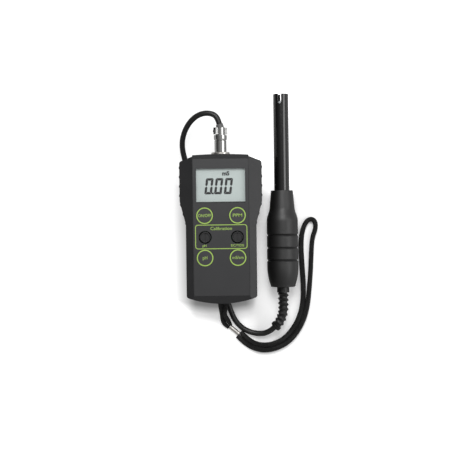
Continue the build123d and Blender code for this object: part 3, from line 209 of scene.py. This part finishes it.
def smooth_cord(name, route, diameter, spread=None):
    """Round cord on one smooth curve, with the route as its control points."""
    line = bpy.data.curves.new(name, "CURVE")
    line.dimensions = "3D"
    spline = line.splines.new("NURBS")
    spline.points.add(len(route) - 1)
    for point, spot, share in zip(spline.points, route, spread or [1.0] * len(route)):
        point.co = (*place(*spot), 1.0)
        point.radius = diameter / 2 * MM * share
    spline.order_u = 3
    spline.use_endpoint_u = True
    spline.resolution_u = 8
    # The points hold the radius in metres, so that the curve's own box fits the cord
    line.bevel_depth = 1.0
    line.bevel_resolution = 5
    line.use_fill_caps = True
    cord = bpy.data.objects.new(name, line)
    add_to_scene(cord)
    return cord


probe_cable = smooth_cord("probe_cable", CABLE_UPPER_ROUTE + coil_turns() + CABLE_LOWER_ROUTE, CABLE_D)
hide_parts("cable_upper", "cable_coil", "cable_lower")
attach(probe_cable, "meter")
place(*CABLE_UPPER_ROUTE[0])
lug_loop = smooth_cord("lug_loop", LUG_CORD_ROUTE, LUG_CORD_D, LUG_SPREAD)
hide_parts("lug_cord")
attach(lug_loop, "meter")
place(*LUG_CORD_ROUTE[0])
wrist_loop = smooth_cord("wrist_loop", WRIST_CORD_ROUTE, WRIST_CORD_D, WRIST_SPREAD)
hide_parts("wrist_cord")
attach(wrist_loop, "meter")
place(*WRIST_CORD_ROUTE[0])


class Signal:
    """Value inside a node tree, so that sums and products on it add Math nodes."""

    def __init__(self, maker, socket):
        self.maker = maker
        self.socket = socket

    def math(self, operation, *others):
        """Math node with this value first."""
        return self.maker.math(operation, self, *others)

    def __add__(self, other):
        return self.math("ADD", other)

    def __sub__(self, other):
        return self.math("SUBTRACT", other)

    def __rsub__(self, other):
        return self.maker.math("SUBTRACT", other, self)

    def __mul__(self, other):
        return self.math("MULTIPLY", other)

    def __truediv__(self, other):
        return self.math("DIVIDE", other)

    def __mod__(self, other):
        return self.math("FLOORED_MODULO", other)

    __radd__ = __add__
    __rmul__ = __mul__

    def above(self, level, soft):
        """0 below the level and 1 above it, with a soft edge."""
        raised = (self - level) / soft + 0.5
        return raised.math("MAXIMUM", 0.0).math("MINIMUM", 1.0)


class NodeMaker:
    """Node tree of a finish or of the world, in which any node is made by one method."""

    def __init__(self, tree):
        self.tree = tree

    def plug(self, socket, value):
        """Give a socket a plain value or link a signal to it."""
        if isinstance(value, Signal):
            self.tree.links.new(value.socket, socket)
        else:
            socket.default_value = value

    def node(self, kind, settings=None, inputs=None, output=0):
        """Any node, with its settings set before its sockets are filled."""
        made = self.tree.nodes.new(kind)
        for key, value in (settings or {}).items():
            setattr(made, key, value)
        for key, value in (inputs or {}).items():
            self.plug(made.inputs[key], value)
        return Signal(self, made.outputs[output])

    def math(self, operation, *terms):
        """Math node on any mix of signals and numbers."""
        return self.node("ShaderNodeMath", {"operation": operation}, dict(enumerate(terms)))

    def ray(self, kind):
        """1 for one kind of ray, such as the camera's own, and 0 for the others."""
        return self.node("ShaderNodeLightPath", output=f"Is {kind} Ray")


class Finish(NodeMaker):
    """Material for one kind of surface, with its shader's own values given first."""

    def __init__(self, name, colour, roughness, **own):
        self.material = bpy.data.materials.new(name)
        self.material.use_nodes = True
        super().__init__(self.material.node_tree)
        self.shader = self.tree.nodes["Principled BSDF"]
        self.set("Base Color", (*colour, 1.0))
        self.set("Roughness", roughness)
        for socket, value in own.items():
            self.set(socket.replace("_", " "), value)

    def set(self, socket, value):
        """Give one of the shader's sockets its value."""
        self.plug(self.shader.inputs[socket], value)

    def spot(self, source="Object"):
        """Coordinates of the surface, from the object or from its own map."""
        return self.node("ShaderNodeTexCoord", output=source)

    def parts(self, source="Object", centre=(0.0, 0.0, 0.0)):
        """The three coordinates as separate values, from a centre in metres."""
        moved = self.node(
            "ShaderNodeVectorMath", {"operation": "SUBTRACT"}, {0: self.spot(source), 1: tuple(centre)}
        )
        split = self.node("ShaderNodeSeparateXYZ", inputs={0: moved})
        outputs = split.socket.node.outputs
        return [Signal(self, outputs[axis]) for axis in ("X", "Y", "Z")]

    def grain(self, scale, detail=2.0):
        """Noise over the surface."""
        inputs = {"Vector": self.spot(), "Scale": scale, "Detail": detail}
        return self.node("ShaderNodeTexNoise", inputs=inputs)

    def blend(self, amount, first, second):
        """Colour between two, by an amount from 0 to 1."""
        first, second = (
            value if isinstance(value, Signal) else (*value, 1.0) for value in (first, second)
        )
        inputs = {0: amount, 6: first, 7: second}
        return self.node("ShaderNodeMix", {"data_type": "RGBA"}, inputs, output=2)

    def relief(self, height, distance, strength=1.0):
        """Raise the surface by the height times a distance in metres."""
        inputs = {"Height": height, "Distance": distance, "Strength": strength}
        self.set("Normal", self.node("ShaderNodeBump", inputs=inputs))


def shade(colour, factor):
    """Colour made darker or lighter by a factor."""
    return tuple(min(1.0, part * factor) for part in colour)


def moulded(name, colour, roughness, grain=2500.0, depth=0.00004, **own):
    """Moulded plastic or rubber: fine grain, faint mottling and handled patches."""
    made = Finish(name, colour, roughness, **own)
    mottle = made.grain(45.0, 3.0)
    made.set("Base Color", made.blend(mottle, shade(colour, 0.86), shade(colour, 1.14)))
    fine = made.grain(grain, 1.0)
    made.set("Roughness", roughness - 0.05 + 0.08 * mottle + 0.03 * fine)
    made.relief(fine, depth, 0.5)
    return made.material


def metal(name, colour, roughness):
    """Bare or plated metal with faint rubbing marks."""
    made = Finish(name, colour, roughness, Metallic=1.0)
    rubbed = made.grain(600.0, 3.0)
    made.set("Roughness", roughness + 0.1 * (rubbed - 0.4))
    made.set("Base Color", made.blend(rubbed, shade(colour, 0.93), shade(colour, 1.04)))
    made.relief(rubbed, 0.00002, 0.3)
    return made.material


def braided(name, colour, around, along):
    """Braided cord: strands cross over and under along both diagonals of its map, with painted shade
    between them and painted highlights on their ridges.
    """
    made = Finish(name, colour, 0.7, Specular_IOR_Level=0.3)
    u, v, _ = made.parts("UV")
    first = u * around + v * along
    second = u * around - v * along
    over = ((first.math("FLOOR") + second.math("FLOOR")) % 2.0).above(0.5, 0.02)
    rising, falling = ((strand % 1.0 * math.pi).math("SINE") for strand in (first, second))
    height = falling * (1.0 - over) + rising * over
    fibres = made.grain(3000.0, 1.0)
    # Painted shade and highlight: the strands are coloured darker down in the crossings and lighter on
    # their ridges
    made.set("Base Color", made.blend(height, shade(colour, 0.3), shade(colour, 2.4)))
    made.set("Roughness", 0.78 - 0.16 * height)
    made.relief(height + 0.2 * fibres, 0.0005, 0.8)
    return made.material


case_black = moulded("case_black", (0.018, 0.018, 0.019), 0.42, Specular_IOR_Level=0.38)
grip_black = moulded("grip_black", (0.003, 0.003, 0.003), 0.48, 1800.0, Specular_IOR_Level=0.7)
key_black = moulded("key_black", (0.03, 0.03, 0.032), 0.38, grain=3500.0, depth=0.00002)
shaft_black = moulded("shaft_black", (0.002, 0.002, 0.002), 0.16, 900.0, 0.00001, Specular_IOR_Level=0.75)
cable_black = moulded("cable_black", (0.008, 0.008, 0.008), 0.42, grain=1600.0, depth=0.00003)
relief_black = moulded("relief_black", (0.005, 0.005, 0.005), 0.4, grain=1600.0, depth=0.00003)
dark_insert = moulded("dark_insert", (0.015, 0.015, 0.016), 0.5)
knob_black = moulded("knob_black", (0.008, 0.008, 0.009), 0.4)
sleeve_grey = moulded("sleeve_grey", (0.09, 0.09, 0.09), 0.55)
white_ceramic = moulded("white_ceramic", (0.72, 0.7, 0.64), 0.6)
lead_red = moulded("lead_red", (0.4, 0.02, 0.02), 0.4)
chrome = metal("chrome", (0.52, 0.52, 0.51), 0.12)
nickel = metal("nickel", (0.6, 0.58, 0.55), 0.3)
crimp_metal = metal("crimp_metal", (0.8, 0.77, 0.73), 0.32)
steel = metal("steel", (0.58, 0.58, 0.57), 0.3)
gold = metal("gold", (0.85, 0.62, 0.28), 0.22)
strap_braid = braided("strap_braid", (0.007, 0.007, 0.007), 6.0, 150.0)
lug_braid = braided("lug_braid", (0.006, 0.006, 0.006), 6.0, 33.0)

# Middle of the display window, and where the battery's wrapper turns pale
WINDOW_Y = 41.75
PALE_Y = -22.0


def panel_finish():
    """Printed front film: a fine satin texture over a dark ground."""
    made = Finish("panel_film", (0.04, 0.04, 0.041), 0.36)
    mottle = made.grain(60.0, 3.0)
    fine = made.grain(5200.0, 1.0)
    made.set("Base Color", made.blend(mottle, (0.022, 0.022, 0.0235), (0.027, 0.027, 0.0285)))
    made.set("Roughness", 0.33 + 0.07 * fine)
    made.relief(fine, 0.00003, 0.4)
    return made.material


def display_finish():
    """Liquid crystal glass: pale field, with a painted shadow darkening it along its upper edge, and a
    dark margin below.
    """
    made = Finish("display_field", (0.5, 0.56, 0.56), 0.22)
    _, y, _ = made.parts(centre=place(0, WINDOW_Y, 0))
    # Painted shadow: the field darkens towards its upper edge, where the window's rim would shade it
    painted_top_shadow = y.above(0.0158, 0.0022)
    margin = 1.0 - y.above(-0.0154, 0.0003)
    mottle = made.grain(70.0, 2.0)
    field = made.blend(mottle, (0.46, 0.52, 0.505), (0.51, 0.57, 0.555))
    field_with_painted_shadow = made.blend(painted_top_shadow * 0.4, field, (0.2, 0.22, 0.22))
    made.set("Base Color", made.blend(margin, field_with_painted_shadow, (0.03, 0.03, 0.03)))
    made.set("Roughness", 0.2 + 0.1 * mottle)
    return made.material


def lens_finish():
    """Clear window with a faint wipe pattern."""
    made = Finish("window_clear", (0.1, 0.11, 0.11), 0.06, Alpha=0.04)
    made.set("Roughness", 0.05 + 0.04 * made.grain(80.0, 3.0))
    return made.material


def board_finish():
    """Circuit board: green mask over a pattern of tracks and pads."""
    made = Finish("board_green", (0.01, 0.09, 0.035), 0.35)
    x, y, _ = made.parts()
    track_x = (x * 400.0) % 1.0
    track_y = (y * 320.0) % 1.0
    tracks = track_x.above(0.72, 0.06).math("MAXIMUM", track_y.above(0.78, 0.06))
    patches = made.grain(90.0, 1.0).above(0.5, 0.04)
    made.set("Base Color", made.blend(tracks * patches, (0.008, 0.075, 0.03), (0.03, 0.19, 0.075)))
    made.set("Roughness", 0.3 + 0.15 * patches)
    return made.material


def battery_finish():
    """Battery wrapper: dark at its lower end and pale above."""
    made = Finish("battery_wrap", (0.03, 0.03, 0.032), 0.35)
    _, y, _ = made.parts(centre=place(0, PALE_Y, 0))
    pale = y.above(0.0, 0.0006)
    wear = made.grain(120.0, 3.0)
    made.set("Base Color", made.blend(pale, (0.03, 0.03, 0.032), (0.55, 0.54, 0.5)))
    made.set("Roughness", 0.3 + 0.15 * wear)
    return made.material


def glass_finish():
    """Thin sensor glass."""
    made = Finish("sensor_glass", (0.85, 0.9, 0.92), 0.05, Alpha=0.55)
    made.set("Roughness", 0.04 + 0.03 * made.grain(300.0, 2.0))
    return made.material


panel_film = panel_finish()
display_field = display_finish()
window_clear = lens_finish()
board_green = board_finish()
battery_wrap = battery_finish()
sensor_glass = glass_finish()

NODE_FINISHES = {
    "front_cover": case_black,
    "rear_cover": case_black,
    "battery_door": case_black,
    "panel_overlay": panel_film,
    "window_lens": window_clear,
    "display_glass": display_field,
    "display_holder": dark_insert,
    "contact_strips": dark_insert,
    "circuit_board": board_green,
    "board_chips": dark_insert,
    "board_screws": steel,
    "key_switches": dark_insert,
    "key_on_off": key_black,
    "key_ppm": key_black,
    "key_ph": key_black,
    "key_ms": key_black,
    "plunger_on_off": dark_insert,
    "plunger_ppm": dark_insert,
    "plunger_ph": dark_insert,
    "plunger_ms": dark_insert,
    "trimmer_bodies": dark_insert,
    "trimmer_ph": knob_black,
    "trimmer_ms": knob_black,
    "battery": battery_wrap,
    "battery_snap": dark_insert,
    "battery_leads": lead_red,
    "case_screws": steel,
    "strap_pin": steel,
    "panel_socket": nickel,
    "socket_nut": nickel,
    "socket_insert": dark_insert,
    "socket_pins": gold,
    "coupling_ring": chrome,
    "plug_shell": chrome,
    "plug_insert": dark_insert,
    "cable_clamp": chrome,
    "clamp_screws": steel,
    "cable_sleeve": sleeve_grey,
    "strain_relief": relief_black,
    "probe_handle": grip_black,
    "shaft_rings": dark_insert,
    "probe_shaft": shaft_black,
    "electrode_stick": dark_insert,
    "ph_bulb": sensor_glass,
    "conductivity_pins": steel,
    "temperature_sensor": steel,
    "reference_junction": white_ceramic,
    "probe_board": board_green,
    "strap_ferrule": crimp_metal,
}


def dress(obj, material):
    """Give an object its only material."""
    obj.data.materials.clear()
    obj.data.materials.append(material)


for node_name, material in NODE_FINISHES.items():
    dress(nodes[node_name], material)
dress(probe_cable, cable_black)
dress(lug_loop, lug_braid)
dress(wrist_loop, strap_braid)


# Printing on the panel and the keys, each a thin layer of ink
INK_T = 0.02 * MM
PANEL_Z = BACK_Z + CASE_H
KEY_Z = PANEL_Z + 0.15
WORD_RISE = 0.01


def ink(name, colour):
    """Printed ink, a little uneven."""
    made = Finish(name, colour, 0.42)
    uneven = made.grain(900.0, 3.0)
    made.set("Base Color", made.blend(uneven, shade(colour, 0.88), shade(colour, 1.1)))
    made.set("Roughness", 0.38 + 0.1 * uneven)
    return made.material


green_ink = ink("green_ink", (0.29, 0.44, 0.08))
digit_black = ink("digit_black", (0.012, 0.012, 0.013))


def finish_piece(name, form, material, body):
    """Object from a bmesh that is already in place, riding on a body."""
    mesh = bpy.data.meshes.new(name)
    form.to_mesh(mesh)
    form.free()
    piece = bpy.data.objects.new(name, mesh)
    add_to_scene(piece)
    dress(piece, material)
    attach(piece, body)


def raise_layer(form, thickness):
    """Give a flat sheet of ink its thickness, upwards."""
    swept = bmesh.ops.extrude_face_region(form, geom=form.faces[:])
    risen = [part for part in swept["geom"] if isinstance(part, bmesh.types.BMVert)]
    bmesh.ops.translate(form, verts=risen, vec=(0.0, 0.0, thickness))
    bmesh.ops.recalc_face_normals(form, faces=form.faces[:])


def printed_words(name, words, size, wide, spot, material, body="meter", bold=0.006):
    """Words printed flat and drawn wide, just above a spot given from the case's middle."""
    text = bpy.data.curves.new(name, "FONT")
    text.body = words
    text.size = size * MM
    text.align_x = "CENTER"
    text.align_y = "CENTER"
    text.extrude = INK_T / 2
    text.offset = bold * size * MM
    temporary = bpy.data.objects.new(name, text)
    add_to_scene(temporary)
    bpy.context.view_layer.update()
    flat = temporary.evaluated_get(bpy.context.evaluated_depsgraph_get())
    form = bmesh.new()
    form.from_mesh(flat.to_mesh())
    flat.to_mesh_clear()
    bpy.data.objects.remove(temporary)
    bmesh.ops.scale(form, verts=form.verts, vec=(wide, 1.0, 1.0))
    x, y, z = spot
    bmesh.ops.translate(form, verts=form.verts, vec=place(x, y, z + WORD_RISE))
    finish_piece(name, form, material, body)


def keep_rim(form, line):
    """Leave only a rim of a flat sheet of ink, and give it its thickness."""
    bmesh.ops.inset_individual(form, faces=form.faces[:], thickness=line * MM)
    middle = max(form.faces, key=lambda face: len(face.verts))
    bmesh.ops.delete(form, geom=[middle], context="FACES")
    raise_layer(form, INK_T)


def printed_ring(name, radius, line, spot, material, body):
    """Printed ring with an outer radius and a line width."""
    form = bmesh.new()
    bmesh.ops.create_circle(form, cap_ends=True, segments=96, radius=radius * MM)
    keep_rim(form, line)
    bmesh.ops.translate(form, verts=form.verts, vec=place(*spot))
    finish_piece(name, form, material, body)


def printed_frame(name, width, length, corner, line, spot, material):
    """Printed frame with rounded corners."""
    form = bmesh.new()
    bmesh.ops.create_grid(form, x_segments=1, y_segments=1, size=0.5)
    bmesh.ops.scale(form, verts=form.verts, vec=(width * MM, length * MM, 1.0))
    bmesh.ops.bevel(
        form,
        geom=form.verts[:],
        offset=corner * MM,
        segments=10,
        profile=0.5,
        affect="VERTICES",
        material=-1,
    )
    keep_rim(form, line)
    bmesh.ops.translate(form, verts=form.verts, vec=place(*spot))
    finish_piece(name, form, material, "meter")


# Keys: the spot of each one, then its words with their size and width
KEY_X = 15.9
UPPER_KEY_Y = 12.9
LOWER_KEY_Y = -27.9
RING_R = 8.0
RING_LINE = 1.05
KEYS = {
    "on_off": (-KEY_X, UPPER_KEY_Y, "ON/OFF", 4.2, 0.82),
    "ppm": (KEY_X, UPPER_KEY_Y, "PPM", 4.3, 1.25),
    "ph": (-KEY_X, LOWER_KEY_Y, "pH", 4.6, 0.87),
    "ms": (KEY_X, LOWER_KEY_Y, "mS/cm", 4.1, 1.0),
}
for key, (x, y, words, size, wide) in KEYS.items():
    spot = (x, y, KEY_Z)
    printed_ring("ring_" + key, RING_R, RING_LINE, spot, green_ink, "key_" + key)
    printed_words("legend_" + key, words, size, wide, spot, green_ink, "key_" + key)

# Calibration frame with its heading, and a word under each trimmer knob
FRAME_W = 50.4
FRAME_L = 23.7
FRAME_CORNER = 2.8
FRAME_LINE = 0.75
FRAME_SPOT = (0.0, -7.6, PANEL_Z)
HEADING_SPOT = (0.0, 0.3, PANEL_Z)
PH_SPOT = (-16.3, -16.2, PANEL_Z)
EC_SPOT = (15.5, -16.2, PANEL_Z)
printed_frame("calibration_frame", FRAME_W, FRAME_L, FRAME_CORNER, FRAME_LINE, FRAME_SPOT, green_ink)
printed_words("calibration_heading", "Calibration", 4.4, 1.07, HEADING_SPOT, green_ink)
printed_words("calibration_ph", "pH", 3.5, 0.98, PH_SPOT, green_ink)
printed_words("calibration_ec", "EC/TDS", 3.2, 1.22, EC_SPOT, green_ink)

# Digits of the display, laid on its glass
DISPLAY_Z = BACK_Z + 33.0
DIGIT_W = 7.4
DIGIT_H = 15.6
DIGIT_Y = 41.3
DIGIT_XS = (-11.3, -1.9, 7.5)
POINT_SPOT = (-7.6, 34.4, DISPLAY_Z)
POINT_R = 0.95
UNIT_SPOT = (5.0, 53.4, DISPLAY_Z)
BAR_W = 2.3
BAR_GAP = 0.1
DIGIT_REACH = (DIGIT_W - BAR_W) / 2
DIGIT_RUN = (DIGIT_H - BAR_W) / 2
SLANT = math.tan(math.radians(7))
# How far a mitred end's outer, middle and inner corners pass the bar's end, in bar widths
OUTER_CORNER = 0.15
MIDDLE_CORNER = 0.33
INNER_CORNER = -0.5
# Lit bars of a nought: side, rise, and whether the bar is an upright
BARS = [
    (0.0, 1.0, False),
    (0.0, -1.0, False),
    (-1.0, 0.5, True),
    (1.0, 0.5, True),
    (-1.0, -0.5, True),
    (1.0, -0.5, True),
]


def display_bar(form, side, rise, upright):
    """One bar of a digit, mitred where two bars meet and pointed between two uprights."""
    half = DIGIT_RUN / 2 if upright else DIGIT_REACH
    outward = side if upright else rise
    for vert in bmesh.ops.create_circle(form, cap_ends=True, segments=6, radius=1.0)["verts"]:
        end = math.copysign(1.0, vert.co.y)
        wing = 0.0 if abs(vert.co.x) < 0.1 else math.copysign(1.0, vert.co.x)
        # The end of an upright at the digit's middle is pointed, and every other end is mitred
        if upright and end * rise < 0:
            past, across = -abs(wing) / 2, wing / 2
        elif wing == 0:
            past, across = MIDDLE_CORNER, outward * MIDDLE_CORNER
        else:
            past, across = OUTER_CORNER if wing == outward else INNER_CORNER, wing / 2
        across *= BAR_W
        along = end * (half + past * BAR_W - BAR_GAP)
        px, py = (across, along) if upright else (along, across)
        px += side * DIGIT_REACH
        py += rise * DIGIT_RUN
        vert.co = Vector((px + py * SLANT, py, 0.0)) * MM


def display_digit(name, spot):
    """A nought on the display, with six of its seven bars lit."""
    form = bmesh.new()
    for side, rise, upright in BARS:
        display_bar(form, side, rise, upright)
    raise_layer(form, INK_T)
    bmesh.ops.translate(form, verts=form.verts, vec=place(*spot))
    finish_piece(name, form, digit_black, "meter")


def display_point(name, spot):
    """The point after the first digit."""
    form = bmesh.new()
    bmesh.ops.create_circle(form, cap_ends=True, segments=24, radius=POINT_R * MM)
    raise_layer(form, INK_T)
    bmesh.ops.translate(form, verts=form.verts, vec=place(*spot))
    finish_piece(name, form, digit_black, "meter")


for count, x in enumerate(DIGIT_XS):
    display_digit(f"display_digit_{count}", (x, DIGIT_Y, DISPLAY_Z))
display_point("display_point", POINT_SPOT)
printed_words("display_unit", "mS", 5.4, 1.05, UNIT_SPOT, digit_black, "meter", 0.05)

# White floor with painted light: for the camera it glows in places, lifting or clearing the lamps'
# shadows there, and a painted shadow darkens it under the case.
# Its places are in metres: each is where a stretch begins, with the width of its soft edge.
FLOOR_SIZE = 3.0
# Level of the painted glow, which makes the floor white and clears the shadows where it is used
GLOW = 0.7
FAR_FROM_MIDDLE = (0.2, 0.05)
RIGHT_OF_GLOWING_SIDE = (-0.054, 0.02)
BEHIND_CASE = (0.008, 0.014)
RIGHT_OF_CASE = (0.012, 0.006)
RIGHT_OF_PROBE = (0.05, 0.005)
UP_FROM_CORDS = (-0.1, 0.05)
# The case's lower edge is bowed, so these two are measured from that curve's lowest point
# Painted shade under the case: the painted contact shadow fades out at the first of these two, and the
# painted glow below the case begins at the second
EDGE_BOW = 3.65
TOUCHING_CASE = (-0.1115, 0.008)
UNDER_CASE = (-0.115, 0.018)
BESIDE_CASE = (0.012, 0.012)


def grey(level):
    """Neutral colour of one level."""
    return (level, level, level)


def floor_white():
    """Floor paper: white, with a painted contact shadow along the case's lower edge and a painted glow
    for the camera that lightens shadows; plain for other rays, and darker for glossy ones.
    """
    made = Finish("floor_white", grey(0.8), 0.9, Specular_IOR_Level=0.0)
    shown = (made.ray("Camera") + made.ray("Transmission")).above(0.5, 0.1)
    x, y, _ = made.parts()
    off_centre = x - CASE_X * MM
    from_edge = y - off_centre * off_centre * EDGE_BOW
    left_part = 1.0 - x.above(*BESIDE_CASE)
    # Painted contact shadow: for the camera the floor's colour is darkened to 0.4 along the case's lower
    # edge, left of the probe
    painted_contact_shadow = from_edge.above(*TOUCHING_CASE) * left_part * shown
    lit = made.blend(painted_contact_shadow, grey(0.95), grey(0.4))
    # For glossy rays the floor is darker, so shiny pieces mirror a darker floor
    other_rays_colour = made.blend(made.ray("Glossy"), grey(0.8), grey(0.5))
    made.set("Base Color", made.blend(shown, other_rays_colour, lit))
    # Painted light: for the camera the floor glows white far from the middle, left of the case and behind
    # it, clearing the lamps' shadows there
    far_away = (x * x + y * y).math("SQRT").above(*FAR_FROM_MIDDLE)
    glowing_left_side = 1.0 - x.above(*RIGHT_OF_GLOWING_SIDE)
    painted_glow_mask = far_away.math("MAXIMUM", glowing_left_side.math("MAXIMUM", y.above(*BEHIND_CASE)))
    # Painted light: a weaker glow lightens the shadow between the case and the probe, and a stronger one
    # lightens the shadow below the case
    between = x.above(*RIGHT_OF_CASE) * (1.0 - x.above(*RIGHT_OF_PROBE)) * y.above(*UP_FROM_CORDS)
    glow = made.blend(between * shown, grey(0.04), grey(0.22))
    below = (1.0 - from_edge.above(*UNDER_CASE)) * left_part
    glow = made.blend(below * shown, glow, grey(0.4))
    made.set("Emission Color", made.blend(painted_glow_mask * shown, glow, grey(GLOW)))
    made.set("Emission Strength", 1.0)
    return made.material


def lay_floor():
    """Large flat floor at the height on which the object lies."""
    form = bmesh.new()
    bmesh.ops.create_grid(form, x_segments=1, y_segments=1, size=FLOOR_SIZE)
    mesh = bpy.data.meshes.new("floor")
    form.to_mesh(mesh)
    form.free()
    floor = bpy.data.objects.new("floor", mesh)
    add_to_scene(floor)
    dress(floor, floor_white())


# World: plain white for the camera, and darker on one side where shiny pieces mirror it
SKY_LEVEL = 0.62
MIRRORED_LEVEL = -0.28
MIRRORED_LEAN = 0.3


def studio_world():
    """Even light from all round."""
    world = bpy.data.worlds.new("studio")
    world.use_nodes = True
    bpy.context.scene.world = world
    sky = NodeMaker(world.node_tree)
    direction = sky.node("ShaderNodeTexCoord", output="Generated")
    across = sky.node("ShaderNodeSeparateXYZ", inputs={0: direction}, output="X")
    level = sky.ray("Glossy") * (across * MIRRORED_LEAN + MIRRORED_LEVEL) + SKY_LEVEL
    background = sky.tree.nodes["Background"]
    sky.plug(background.inputs["Color"], (1.0, 1.0, 1.0, 1.0))
    sky.plug(background.inputs["Strength"], level.math("MAXIMUM", sky.ray("Camera")))


LAMP_SIZE = 0.6


def soft_lamp(name, power, spot):
    """Large square lamp that faces the object."""
    lamp_data = bpy.data.lights.new(name, "AREA")
    lamp_data.energy = power
    lamp_data.size = LAMP_SIZE
    lamp = bpy.data.objects.new(name, lamp_data)
    lamp.location = spot
    lamp.rotation_euler = (-Vector(spot)).to_track_quat("-Z", "Y").to_euler()
    add_to_scene(lamp)


lay_floor()
studio_world()
soft_lamp("key_lamp", 11.0, (0.04, 0.65, 1.2))
soft_lamp("side_lamp", 3.4, (1.0, 0.0, 0.9))

bpy.context.scene.view_settings.view_transform = "Standard"


bpy.context.view_layer.update()
